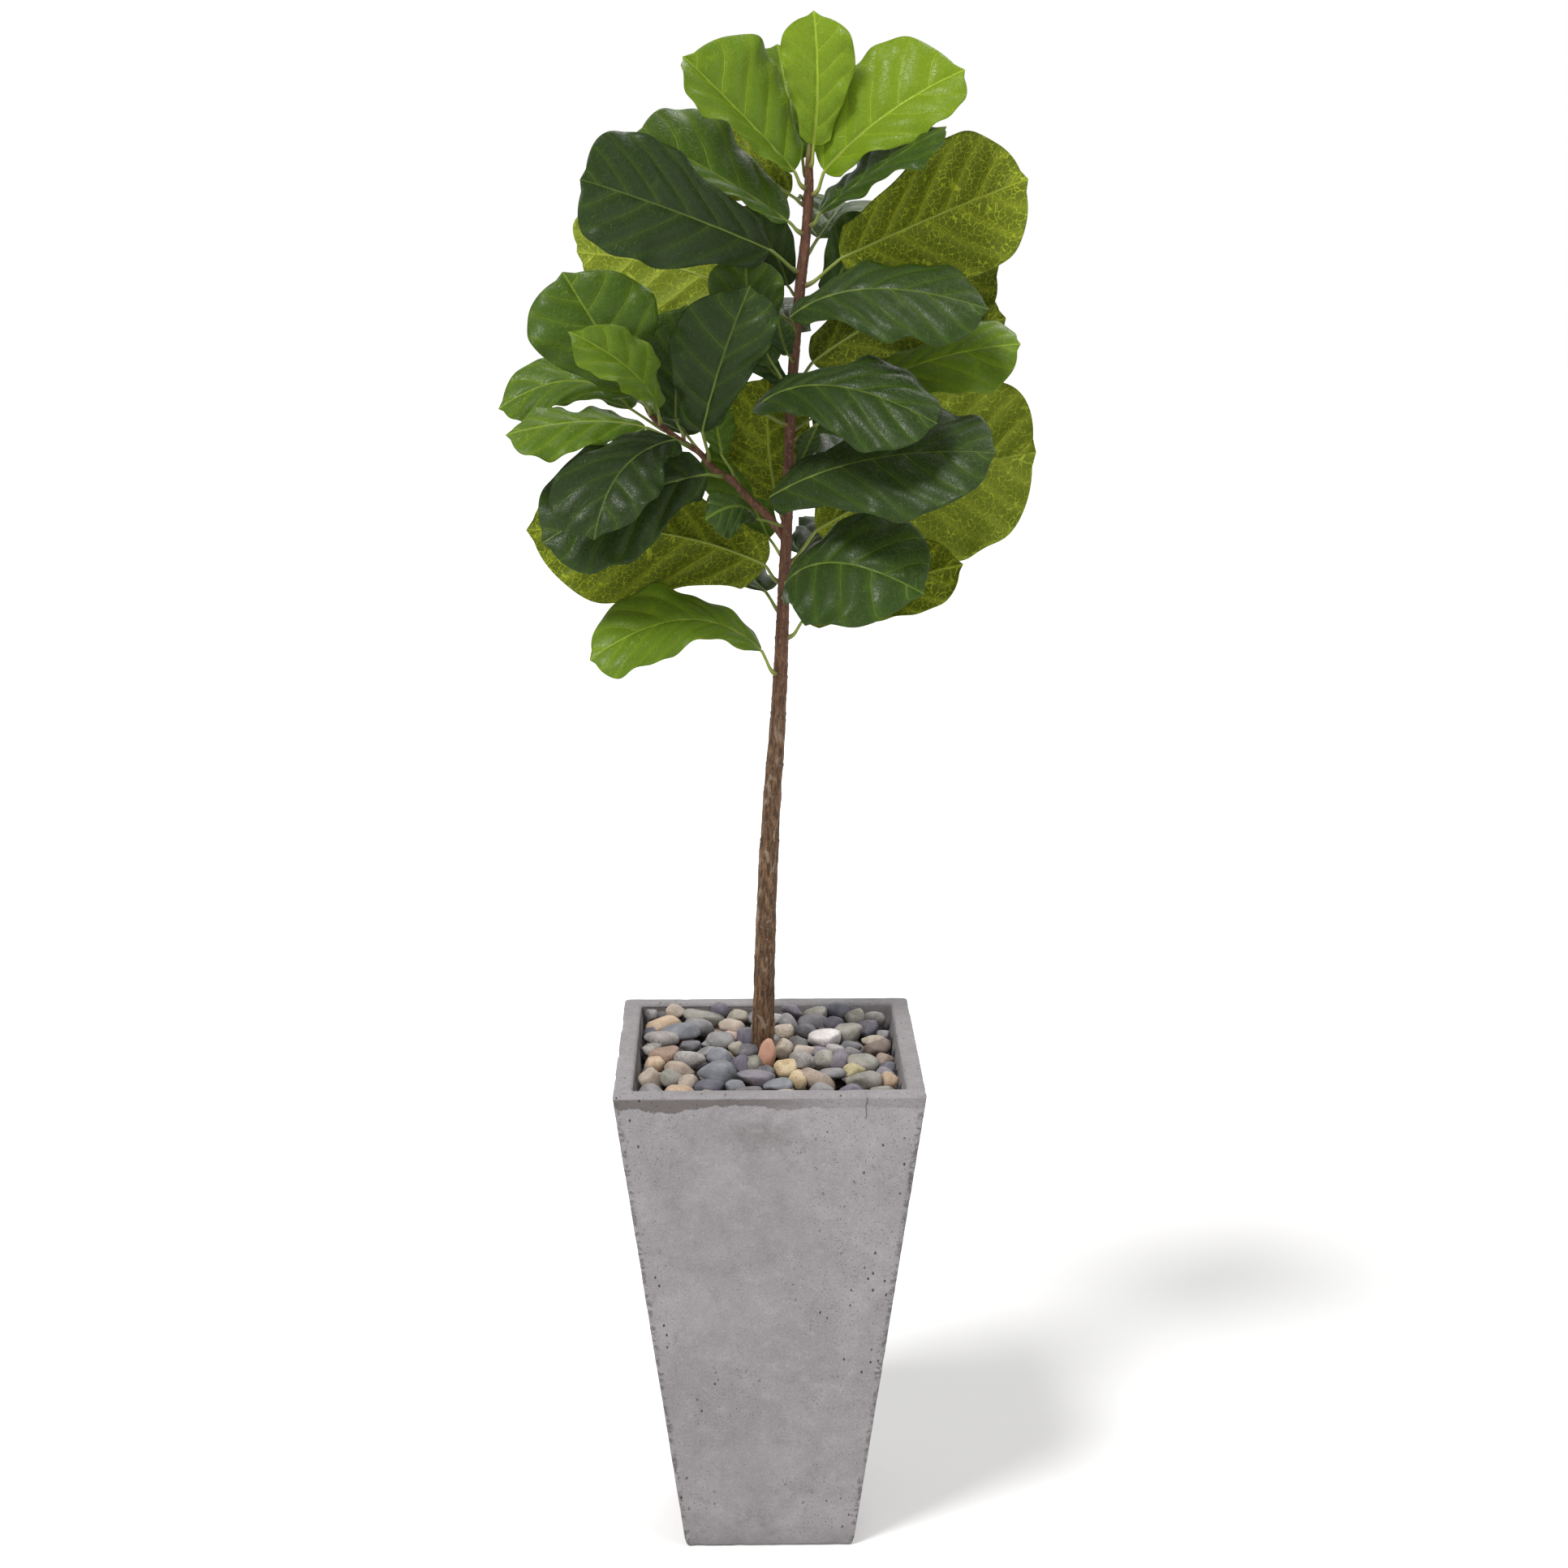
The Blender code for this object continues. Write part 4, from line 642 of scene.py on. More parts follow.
def concrete():
    """Cast grey concrete: sandy mottling, a ragged worn band, pinholes, stains and hairlines."""
    look = Look("concrete")
    place = look.place()
    x, y, z = look.split(place)
    clouds = look.noise(place, 7.0, detail=7.0, roughness=0.66, distortion=0.4)
    streaks = look.noise(look.scaled(place, (1.0, 1.0, 0.16)), 60.0, detail=5.0, roughness=0.7)
    mottle = look.noise(place, 60.0, detail=7.0, roughness=0.72)
    sand = look.noise(place, 620.0, detail=4.0, roughness=0.75)
    grit = look.noise(place, 1700.0, detail=2.0)
    colour = look.mix(look.step(clouds, 0.38, 0.66), (0.258, 0.244, 0.254), (0.322, 0.305, 0.317))
    colour = look.mix(look.times(look.step(mottle, 0.50, 0.68), 0.40), colour, (0.385, 0.365, 0.372))
    colour = look.mix(look.times(look.step(mottle, 0.48, 0.30), 0.45), colour, (0.185, 0.173, 0.180))
    colour = look.mix(look.times(look.step(streaks, 0.55, 0.72), 0.22), colour, (0.24, 0.205, 0.185))
    colour = look.mix(look.times(look.step(sand, 0.54, 0.66), 0.45), colour, (0.450, 0.430, 0.430))
    colour = look.mix(look.times(look.step(sand, 0.46, 0.34), 0.45), colour, (0.165, 0.152, 0.155))
    colour = look.mix(look.times(look.step(grit, 0.40, 0.28), 0.55), colour, (0.10, 0.092, 0.095))

    drop = look.math("SUBTRACT", PLANTER_HEIGHT, z)
    front = look.step(look.times(y, -1.0), 0.10, 0.14)
    skin = look.step(drop, 0.0030, 0.0050)
    ragged = look.noise(look.scaled(place, (1.0, 1.0, 1.6)), 110.0, detail=7.0, roughness=0.75)
    slow = look.noise(place, 14.0, detail=2.0)
    edge = look.math("MULTIPLY_ADD", ragged, 0.016, look.math("MULTIPLY_ADD", slow, 0.026, -0.0075))
    band = look.times(skin, look.step(look.math("SUBTRACT", drop, edge), 0.0008, -0.0008))
    left = look.step(look.math("MULTIPLY_ADD", ragged, 0.10, x), 0.13, 0.01)
    worn = look.times(band, look.math("MULTIPLY_ADD", left, 0.58, 0.22))
    colour = look.mix(worn, colour, (0.110, 0.094, 0.088))

    reach = look.joined(look.times(look.math("ADD", x, 0.008), 13.0),
                        look.times(look.math("SUBTRACT", drop, 0.042), 26.0), 0.0)
    spread = look.node("ShaderNodeVectorMath", operation="LENGTH")
    look.feed(spread.inputs[0], reach)
    stain = look.step(look.math("MULTIPLY_ADD", mottle, 1.6, spread.outputs["Value"]), 1.55, 0.65)
    stained = look.times(look.times(stain, front), 0.55)
    colour = look.mix(stained, colour, (0.135, 0.118, 0.112))
    foot = look.step(look.math("MULTIPLY_ADD", mottle, 0.07, z), 0.085, 0.030)
    colour = look.mix(look.times(foot, 0.40), colour, (0.165, 0.148, 0.148))

    to_edge = look.math("SUBTRACT", look.math("MULTIPLY_ADD", z, 0.127, PLANTER_BOTTOM / 2),
                        look.math("MAXIMUM", look.math("ABSOLUTE", x), look.math("ABSOLUTE", y)))
    inward = look.math("SUBTRACT", look.math("MULTIPLY_ADD", z, 0.127, PLANTER_BOTTOM / 2),
                       look.math("MINIMUM", look.math("ABSOLUTE", x), look.math("ABSOLUTE", y)))
    outside = look.step(to_edge, 0.008, 0.004)
    near_edge = look.step(look.math("MULTIPLY_ADD", mottle, -0.016, inward), 0.0, -0.005)
    chips = look.times(look.times(near_edge, outside), look.step(ragged, 0.50, 0.60))
    chips = look.times(chips, skin)
    colour = look.mix(look.times(chips, 0.55), colour, (0.105, 0.092, 0.082))

    some = look.math("MULTIPLY_ADD", look.noise(place, 11.0, detail=2.0), 0.5, look.math("ABSOLUTE", x))
    few = look.step(some, 0.29, 0.37)
    holes = look.cells(look.scaled(place, (1.0, 1.0, 0.62)), 95.0)
    pits = look.times(look.step(holes, 0.120, 0.070), few)
    tiny = look.times(look.step(look.cells(place, 240.0), 0.15, 0.08), look.step(some, 0.26, 0.34))
    pits = look.math("MAXIMUM", pits, look.times(tiny, 0.8))
    colour = look.mix(look.times(pits, 0.9), colour, (0.040, 0.034, 0.034))

    bend = look.math("MULTIPLY_ADD", look.noise(place, 60.0, detail=5.0), 0.016, -0.008)
    cracks = 0.0
    for where, low, high in HAIRLINES:
        line = look.math("ABSOLUTE", look.math("ADD", look.math("SUBTRACT", x, where), bend))
        run = look.times(look.step(z, low, low + 0.006), look.step(z, high + 0.004, high))
        mark = look.times(look.step(line, 0.0006, 0.0002), look.times(run, front))
        cracks = look.math("MAXIMUM", cracks, mark)
    colour = look.mix(look.times(cracks, 0.65), colour, (0.085, 0.070, 0.066))

    relief = look.math("MULTIPLY_ADD", mottle, 0.4, look.times(sand, 0.55))
    relief = look.math("SUBTRACT", relief, look.times(look.math("MAXIMUM", worn, chips), 0.8))
    relief = look.math("SUBTRACT", relief, look.times(look.math("MAXIMUM", pits, cracks), 1.4))
    normal = look.bump(relief, 0.0018, 0.8)
    normal = look.bump(grit, 0.0004, 0.6, normal)
    return look.finish(colour, look.math("MULTIPLY_ADD", mottle, 0.12, 0.80), normal, Specular_IOR_Level=0.25)


# ---------------------------------------------------------------- mesh helpers


def piece(name, mesh, slot, nodes, *looks):
    """A shown object on the root body that stands for CAD nodes."""
    made = bpy.data.objects.new(name, mesh)
    bpy.context.scene.collection.objects.link(made)
    for look in looks:
        mesh.materials.append(look)
    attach(made, BODY)
    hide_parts(*nodes)
    return made


def mesh_from(name, points, faces):
    mesh = bpy.data.meshes.new(name)
    mesh.from_pydata([tuple(p) for p in points], [], faces)
    mesh.shade_smooth()
    mesh.validate()
    return mesh


def set_values(mesh, name, kind, values):
    layer = mesh.attributes.new(name, kind, "POINT")
    key = "vector" if kind == "FLOAT_VECTOR" else "value"
    layer.data.foreach_set(key, np.asarray(values, np.float32).ravel())


def side_at(height):
    return PLANTER_BOTTOM + (2 * PLANTER_HALF_TOP - PLANTER_BOTTOM) * height / PLANTER_HEIGHT


def loft_faces(rings, around):
    """Faces between rings of points one after another, and a cap at each end."""
    faces = []
    for ring in range(rings - 1):
        low, high = ring * around, (ring + 1) * around
        for i in range(around):
            j = (i + 1) % around
            faces.append((low + i, low + j, high + j, high + i))
    faces.append(tuple(reversed(range(around))))
    faces.append(tuple((rings - 1) * around + i for i in range(around)))
    return faces


def tube(path, radii, sides):
    """Points and faces of a round closed tube along a path, with frames that don't twist."""
    path = np.asarray(path, float)
    along = np.gradient(path, axis=0)
    along /= np.linalg.norm(along, axis=1)[:, None]
    normal = np.cross(along[0], (0.31, 0.87, 0.38))
    points = []
    for place, heading, radius in zip(path, along, radii):
        normal = normal - heading * normal.dot(heading)
        normal /= np.linalg.norm(normal)
        other = np.cross(heading, normal)
        turn = np.arange(sides) * 2 * math.pi / sides
        ring = place + radius * (np.cos(turn)[:, None] * normal + np.sin(turn)[:, None] * other)
        points.append(ring)
    faces = loft_faces(len(path), sides)
    return np.concatenate(points), faces


def smooth_line(points, count):
    """Evenly spread places along a smooth curve through the given points, with the radius at each."""
    given = np.array(points, float) * CM
    knots = np.concatenate([[0.0], np.cumsum(np.linalg.norm(np.diff(given[:, :3], axis=0), axis=1))])
    slopes = np.gradient(given, knots, axis=0)
    where = np.linspace(0.0, knots[-1], count)
    cell = np.clip(np.searchsorted(knots, where, side="right") - 1, 0, len(knots) - 2)
    span = knots[cell + 1] - knots[cell]
    t = ((where - knots[cell]) / span)[:, None]
    start = given[cell] * (2 * t**3 - 3 * t**2 + 1) + slopes[cell] * span[:, None] * (t**3 - 2 * t**2 + t)
    end = given[cell + 1] * (3 * t**2 - 2 * t**3) + slopes[cell + 1] * span[:, None] * (t**3 - t**2)
    line = start + end
    return [(Vector(row[:3]), row[3] / 2) for row in line]


# ---------------------------------------------------------------- leaves


def joint_on(line, where, by_height):
    """Centre, radius and direction of a stem at a height, or at a fraction of its length."""
    if by_height:
        index = next(i for i, (place, _) in enumerate(line) if place.z > where * CM)
        share = (where * CM - line[index - 1][0].z) / (line[index][0].z - line[index - 1][0].z)
    else:
        index = math.ceil(where * (len(line) - 1))
        share = where * (len(line) - 1) - (index - 1)
    (low, low_radius), (high, high_radius) = line[index - 1], line[index]
    return low.lerp(high, share), low_radius + (high_radius - low_radius) * share, (high - low).normalized()


def half_width(t):
    """Outline of a fiddle-shaped blade: small basal lobes, a slight waist and a broad round apex."""
    lobe = min(1.0, t / 0.07) ** 0.5
    body = 0.42 + 0.58 * math.sin(math.pi / 2 * min(1.0, t / BROADEST) ** 1.2) ** 2
    apex = 1.0
    if t > BROADEST:
        apex = max(0.0, 1.0 - ((t - BROADEST) / (1.0 - BROADEST)) ** 2.6) ** 0.5
    return lobe * body * apex


def blade(base, middle, tip, left, right, seed, flutter):
    """A blade's two faces as grids, its vein coordinates, and the line of its midrib below it."""
    control = middle * 2 - (base + tip) / 2

    def midrib(t):
        return base * (1 - t) ** 2 + control * (2 * t * (1 - t)) + tip * t**2

    def direction(t):
        return ((control - base) * (1 - t) + (tip - control) * t).normalized()

    centre = midrib(BROADEST)
    arms = (left - centre, right - centre)
    length = sum((midrib((i + 1) / 20) - midrib(i / 20)).length for i in range(20))
    even = np.linspace(0.0, 1.0, BLADE_ROWS)
    stations = (1 - np.cos(even * math.pi)) / 2 * 0.75 + even * 0.25
    spread = np.linspace(-1.0, 1.0, BLADE_COLUMNS)
    spread = np.sign(spread) * np.abs(spread) ** 1.25
    grid = np.zeros((BLADE_ROWS, BLADE_COLUMNS, 3))
    across = np.zeros((BLADE_ROWS, BLADE_COLUMNS))
    for row, t in enumerate(stations):
        turn = direction(BROADEST).rotation_difference(direction(t))
        share = half_width(float(t))
        ripple = 1.0
        for order, (height, turns) in enumerate(MARGIN_RIPPLES, 1):
            ripple += height * flutter * math.sin(turns * t + order * seed)
        for column, v in enumerate(spread):
            arm = turn @ arms[0 if v < 0 else 1]
            reach = max(share * ripple * arm.length, 0.0004) * abs(v)
            grid[row, column] = midrib(t) + arm.normalized() * reach
            across[row, column] = math.copysign(reach, v)
    nub = np.linalg.norm(grid - np.array(tip), axis=2)
    push = NUB_LENGTH * np.clip(1.0 - nub / NUB_REACH, 0.0, 1.0) ** 2
    grid += push[..., None] * np.array(direction(1.0))

    normal = np.cross(np.gradient(grid, axis=1), np.gradient(grid, axis=0))
    size = np.linalg.norm(normal, axis=2)
    normal /= np.maximum(size, 1e-12)[..., None]
    normal[0] = normal[2]
    normal[1] = normal[2]
    normal[-1] = normal[-3]
    normal[-2] = normal[-3]

    t = stations[:, None]
    v = spread[None, :]
    away = np.abs(v)
    reach = np.array([half_width(float(s)) for s in stations])[:, None]
    side = np.where(v < 0, 0.0, 0.38)
    count = max(5.0, round(length / VEIN_SPACING))
    phase = count * (t - VEIN_RISE * away * reach - 0.07 * away**2) + side + 40.0
    wide = (arms[0].length + arms[1].length) / 2
    fade = np.clip((1.0 - away) / 0.25, 0.0, 1.0) * np.clip(away / 0.12, 0.0, 1.0)
    ends = np.clip(t / 0.10, 0.0, 1.0) * np.clip((1.0 - t) / 0.12, 0.0, 1.0)
    pillow = np.abs(np.sin(math.pi * phase)) ** 0.55 - 0.6
    quilt = QUILT * min(1.0, wide / 0.06) * pillow * fade * ends
    arch = ARCH * wide * away * (1.0 - away) * reach
    wave = flutter * MARGIN_WAVE * away**3 * reach * (
        np.sin(2 * math.pi * (2.3 * t + 0.13 * seed) + np.where(v < 0, 0.0, 1.9))
        + 0.5 * np.sin(2 * math.pi * (5.1 * t + 0.37 * seed) + np.where(v < 0, 0.7, 0.0)))
    groove = -GROOVE_DEEP * np.exp(-((across / GROOVE_WIDE) ** 2)) * np.clip(1.15 - t, 0.0, 1.0)
    lift = quilt + arch + wave + groove
    near = np.abs((phase % 1.0) - 0.5)
    raised = VEIN_RELIEF * np.exp(-(((0.5 - near) / 0.075) ** 2)) * fade * ends
    thin = BLADE_THICKNESS * (0.45 + 0.55 * np.clip((1.0 - away) / 0.08, 0.0, 1.0)) * np.clip(
        (1.0 - t) / 0.03, 0.35, 1.0)
    upper = grid + normal * (lift + thin / 2)[..., None]
    under = grid + normal * (lift - thin / 2 - raised)[..., None]
    coordinates = np.stack([across, np.broadcast_to(t * length, across.shape), phase], axis=2)
    middle_column = BLADE_COLUMNS // 2
    rib = under[:, middle_column] + normal[:, middle_column] * 0.0002
    return upper, under, coordinates, rib, stations


def blade_faces():
    """Faces of the closed blade: the upper grid, the under grid turned round, and the margin between them."""
    def at(row, column, face):
        return (face * BLADE_ROWS + row) * BLADE_COLUMNS + column

    cells = [(r, c) for r in range(BLADE_ROWS - 1) for c in range(BLADE_COLUMNS - 1)]
    upper = [(at(r, c, 0), at(r, c + 1, 0), at(r + 1, c + 1, 0), at(r + 1, c, 0)) for r, c in cells]
    under = [(at(r, c, 1), at(r + 1, c, 1), at(r + 1, c + 1, 1), at(r, c + 1, 1)) for r, c in cells]
    border = [(0, c) for c in range(BLADE_COLUMNS - 1)]
    border += [(r, BLADE_COLUMNS - 1) for r in range(BLADE_ROWS - 1)]
    border += [(BLADE_ROWS - 1, c) for c in range(BLADE_COLUMNS - 1, 0, -1)]
    border += [(r, 0) for r in range(BLADE_ROWS - 1, 0, -1)]
    ring = list(zip(border, border[1:] + border[:1]))
    margin = [(at(*b, 0), at(*a, 0), at(*a, 1), at(*b, 1)) for a, b in ring]
    return upper, under, margin


def stalk_path(place, radius, along, base):
    """The stalk's line: from inside the bark, out of its swollen joint, and up to the blade."""
    outward = base - place
    outward -= along * outward.dot(along)
    outward.normalize()
    start = place + outward * (radius * 0.55)
    elbow = place + outward * (radius + 0.005) + along * 0.001
    bend = elbow.lerp(base, 0.45) + along * 0.002
    line = []
    for i in range(STALK_ROWS):
        t = i / STALK_ROWS
        low = start.lerp(elbow, min(1.0, t * 3.0))
        curve = elbow * (1 - t) ** 2 + bend * (2 * t * (1 - t)) + base * t**2
        line.append(low.lerp(curve, min(1.0, t * 3.0)))
    return line


def leaf(name, joint, base, middle, tip, left, right, tone, seed, slot, looks):
    base, middle, tip, left, right = (Vector(p) * CM for p in (base, middle, tip, left, right))
    flutter = min(1.0, (tip - base).length / 0.14)
    upper, under, coordinates, rib, stations = blade(base, middle, tip, left, right, seed, flutter)
    upper_faces, under_faces, margin = blade_faces()
    points = np.concatenate([upper.reshape(-1, 3), under.reshape(-1, 3)])
    veins = np.concatenate([coordinates.reshape(-1, 3)] * 2)

    stalk = [tuple(p) for p in stalk_path(*joint, base)]
    end = int(BLADE_ROWS * 0.86)
    path = np.array(stalk + [tuple(p) for p in rib[2:end]])
    small = 0.55 + 0.45 * flutter
    swell = [STALK_RADIUS * (1.0 + 0.75 * math.exp(-((i / 3.0) ** 2))) for i in range(STALK_ROWS)]
    taper = [STALK_RADIUS * max(0.16, 0.86 * (1 - stations[i]) ** 1.1) for i in range(2, end)]
    radii = [r * small for r in swell + taper]
    rod_points, rod_faces = tube(path, radii, 10)
    offset = len(points)
    rod_faces = [tuple(i + offset for i in face) for face in rod_faces]

    faces = upper_faces + under_faces + margin + rod_faces
    mesh = mesh_from(name, np.concatenate([points, rod_points]), faces)
    places = [0] * len(upper_faces) + [1] * (len(under_faces) + len(margin)) + [2] * len(rod_faces)
    mesh.polygons.foreach_set("material_index", places)
    set_values(mesh, "blade", "FLOAT_VECTOR", np.concatenate([veins, np.zeros((len(rod_points), 3))]))
    lengthwise = np.concatenate([veins[:, 1] / max(veins[:, 1].max(), 1e-6), np.zeros(len(rod_points))])
    # Painted shade: the tone is lowered towards the blade's base and raised towards its tip.
    set_values(mesh, "tone", "FLOAT", np.clip(tone + 0.10 * (lengthwise - 0.4), 0.0, 1.0))
    woody = np.repeat([math.exp(-((i / 2.2) ** 2)) for i in range(len(path))], 10)
    set_values(mesh, "woody", "FLOAT", np.concatenate([np.zeros(offset), woody]))
    return piece(name, mesh, slot, [name], *looks)


# ---------------------------------------------------------------- stems


def stem_mesh(name, line, rings, sides, ridges, scars):
    """A stem with bark: lengthwise ridges and knots low down, and ring scars where leaves grew."""
    places = np.array([tuple(p) for p, _ in line])
    radii = np.array([r for _, r in line])
    points, faces = tube(places, radii, sides)
    centres = np.repeat(places, sides, axis=0)
    outward = points - centres
    size = np.linalg.norm(outward, axis=1)
    relief = np.zeros(len(points))
    for i, (point, out, radius) in enumerate(zip(points, outward, size)):
        unit = out / max(radius, 1e-9)
        seat = Vector((unit[0] * 2.2, unit[1] * 2.2, point[2] * 26.0))
        lengthwise = 1.0 - abs(noise.noise(seat + Vector((3.0, 0.0, 0.0)))) * 2.0
        knots = noise.noise(Vector((unit[0] * 1.1, unit[1] * 1.1, point[2] * 55.0)))
        fine = noise.noise(Vector((unit[0] * 7.0, unit[1] * 7.0, point[2] * 130.0)))
        relief[i] = ridges * (0.55 * (lengthwise - 0.5) + 0.35 * knots + 0.25 * fine)
    rings_at = np.repeat(places[:, 2], sides)
    for height, deep in scars:
        relief += deep * np.exp(-(((rings_at - height) / 0.0011) ** 2))
        relief -= 0.6 * deep * np.exp(-(((rings_at - height - 0.0028) / 0.0010) ** 2))
    slim = np.clip(size / 0.009, 0.25, 1.0)
    points = points + outward / np.maximum(size, 1e-9)[:, None] * (relief * slim)[:, None]
    mesh = mesh_from(name, points, faces)
    set_values(mesh, "relief", "FLOAT", np.clip(0.5 + relief / max(ridges, 1e-6) * 0.6, 0.0, 1.0))
    return mesh


def node_scars(low, high, spacing, deep, seed):
    """Heights of leaf scars, a little unevenly spaced, with the depth of each."""
    random = np.random.default_rng(seed)
    heights = np.arange(low, high, spacing)
    return [(h + random.uniform(-0.3, 0.3) * spacing, deep * random.uniform(0.6, 1.3)) for h in heights]


def build_trunk(trunk_line, branch_line, look):
    scars = node_scars(0.60, 0.86, 0.035, 0.0005, 5) + node_scars(0.86, 1.39, 0.016, 0.0006, 6)
    trunk = stem_mesh("trunk", trunk_line, TRUNK_RINGS, TRUNK_SIDES, 0.0016, scars)
    branch = stem_mesh("branch_wood", branch_line, BRANCH_RINGS, BRANCH_SIDES, 0.0007,
                       node_scars(1.045, 1.155, 0.011, 0.0005, 7))
    made = piece("trunk", trunk, "bark", ["trunk"], look)
    limb = bpy.data.objects.new("branch_wood", branch)
    bpy.context.scene.collection.objects.link(limb)
    union = made.modifiers.new("Union", "BOOLEAN")
    union.operation = "UNION"
    union.object = limb
    graph = bpy.context.evaluated_depsgraph_get()
    whole = bpy.data.meshes.new_from_object(made.evaluated_get(graph))
    made.modifiers.remove(union)
    made.data = whole
    whole.materials.clear()
    whole.materials.append(look)
    whole.shade_smooth()
    bpy.data.objects.remove(limb, do_unlink=True)
    return made


# ---------------------------------------------------------------- pebbles and soil


def pebble_mesh(name, size, turn, seed, detail=3):
    """A water-worn stone: a ball drawn out, swollen by noise, and worn flat on a few soft facets."""
    random = np.random.default_rng(seed)
    ball = bmesh.new()
    bmesh.ops.create_icosphere(ball, subdivisions=detail, radius=1.0)
    flats = []
    for _ in range(WORN_FACETS):
        facing = Vector(random.normal(size=3)).normalized()
        flats.append((facing, random.uniform(0.58, 0.84)))
    start = Vector(random.uniform(-50, 50, size=3))
    for vert in ball.verts:
        place = vert.co.copy()
        square = Vector([math.copysign(abs(c) ** 0.86, c) for c in place])
        swell = 1.0 + 0.26 * noise.noise(place * 0.9 + start) + 0.07 * noise.noise(place * 2.4 + start)
        place = square * swell
        for facing, reach in flats:
            past = place.dot(facing) - reach
            if past > 0:
                place -= facing * past * 0.80
        vert.co = place
    spans = [max(v.co[axis] for v in ball.verts) - min(v.co[axis] for v in ball.verts) for axis in range(3)]
    middles = [(max(v.co[a] for v in ball.verts) + min(v.co[a] for v in ball.verts)) / 2 for a in range(3)]
    for vert in ball.verts:
        vert.co = [(vert.co[axis] - middles[axis]) / spans[axis] * size[axis] * CM for axis in range(3)]
    bmesh.ops.transform(ball, matrix=turn, verts=ball.verts)
    mesh = bpy.data.meshes.new(name)
    ball.to_mesh(mesh)
    ball.free()
    mesh.shade_smooth()
    set_values(mesh, "shift", "FLOAT_VECTOR", np.tile(random.uniform(-3, 3, size=3), (len(mesh.vertices), 1)))
    return mesh


def build_pebbles(stones):
    for number, (x, y, z, length, depth, height, turn, roll, kind) in enumerate(PEBBLES, 1):
        name = f"pebble_{number:02d}"
        place = Matrix.Translation(Vector((x, y, z)) * CM)
        heading = Matrix.Rotation(math.radians(turn), 4, "Z")
        turned = place @ heading @ Matrix.Rotation(math.radians(roll), 4, "Y")
        mesh = pebble_mesh(name, (length, depth, height), turned, number)
        piece(name, mesh, "pebbles", ["river_pebbles"], stones[kind])
    build_underlayer(stones)


def build_underlayer(stones):
    """Smaller stones under the top ones, so that no gap shows bare soil. They lie on a shaken grid."""
    random = np.random.default_rng(12)
    kinds = ("grey", "slate", "olive", "tan", "mauve")
    inside = side_at(UNDER_HEIGHT * CM) / 2 / CM - WALL / CM - 1.2
    steps = np.linspace(-inside, inside, 9)
    number = 0
    for y in steps:
        for x in steps:
            px, py = np.clip(np.array([x, y]) + random.uniform(-0.35, 0.35, 2), -inside, inside)
            if math.hypot(px + 0.5, py - 1.0) < 2.3:
                continue
            number += 1
            name = f"under_pebble_{number:02d}"
            size = (random.uniform(2.2, 3.0), random.uniform(1.8, 2.3), random.uniform(1.3, 1.6))
            turned = Matrix.Translation(Vector((px, py, UNDER_HEIGHT)) * CM) @ Matrix.Rotation(
                random.uniform(0, math.pi), 4, "Z")
            mesh = pebble_mesh(name, size, turned, 200 + number, detail=2)
            piece(name, mesh, "pebbles", ["river_pebbles"], stones[kinds[number % len(kinds)]])


def build_soil(look):
    """The fill: a block that follows the walls, its top lumpy with crumbs."""
    cells = 90
    clear = WALL + 0.0006
    top_half = side_at(SOIL_TOP) / 2 - clear
    low_half = side_at(FLOOR) / 2 - clear
    steps = np.linspace(-1.0, 1.0, cells)
    points = []
    for v in steps:
        for u in steps:
            seat = Vector((u * top_half, v * top_half, 0.0))
            crumb = 0.5 + 0.5 * noise.noise(seat * 90.0) + 0.25 * noise.noise(seat * 320.0)
            points.append((seat.x, seat.y, SOIL_TOP - 0.004 * max(0.0, crumb)))
    faces = [(r * cells + c, r * cells + c + 1, (r + 1) * cells + c + 1, (r + 1) * cells + c)
             for r in range(cells - 1) for c in range(cells - 1)]
    rim = [c for c in range(cells)] + [r * cells + cells - 1 for r in range(1, cells)]
    rim += [(cells - 1) * cells + c for c in range(cells - 2, -1, -1)]
    rim += [r * cells for r in range(cells - 2, 0, -1)]
    first = len(points)
    for i in rim:
        x, y, _ = points[i]
        points.append((x / top_half * low_half, y / top_half * low_half, FLOOR + 0.0003))
    count = len(rim)
    faces += [(rim[(i + 1) % count], rim[i], first + i, first + (i + 1) % count) for i in range(count)]
    faces.append(tuple(first + i for i in reversed(range(count))))
    mesh = mesh_from("potting_soil", points, faces)
    return piece("potting_soil", mesh, "soil", ["potting_soil"], look)


# ---------------------------------------------------------------- planter


def square_ring(half, corner):
    """Points of a square with round corners, and the way out of it at each point."""
    points, ways = [], []
    flat = half - corner
    for quarter in range(4):
        turn = quarter * math.pi / 2
        cos, sin = math.cos(turn), math.sin(turn)
        for i in range(SIDE_POINTS):
            along = -flat + 2 * flat * i / SIDE_POINTS
            points.append((along * cos + half * sin, along * sin - half * cos))
            ways.append((sin, -cos))
        for i in range(CORNER_POINTS):
            bend = math.pi / 2 * i / CORNER_POINTS
            out = (math.sin(bend), -math.cos(bend))
            x, y = flat + corner * out[0], -flat + corner * out[1]
            points.append((x * cos - y * sin, x * sin + y * cos))
            ways.append((out[0] * cos - out[1] * sin, out[0] * sin + out[1] * cos))
    return np.array(points), np.array(ways)


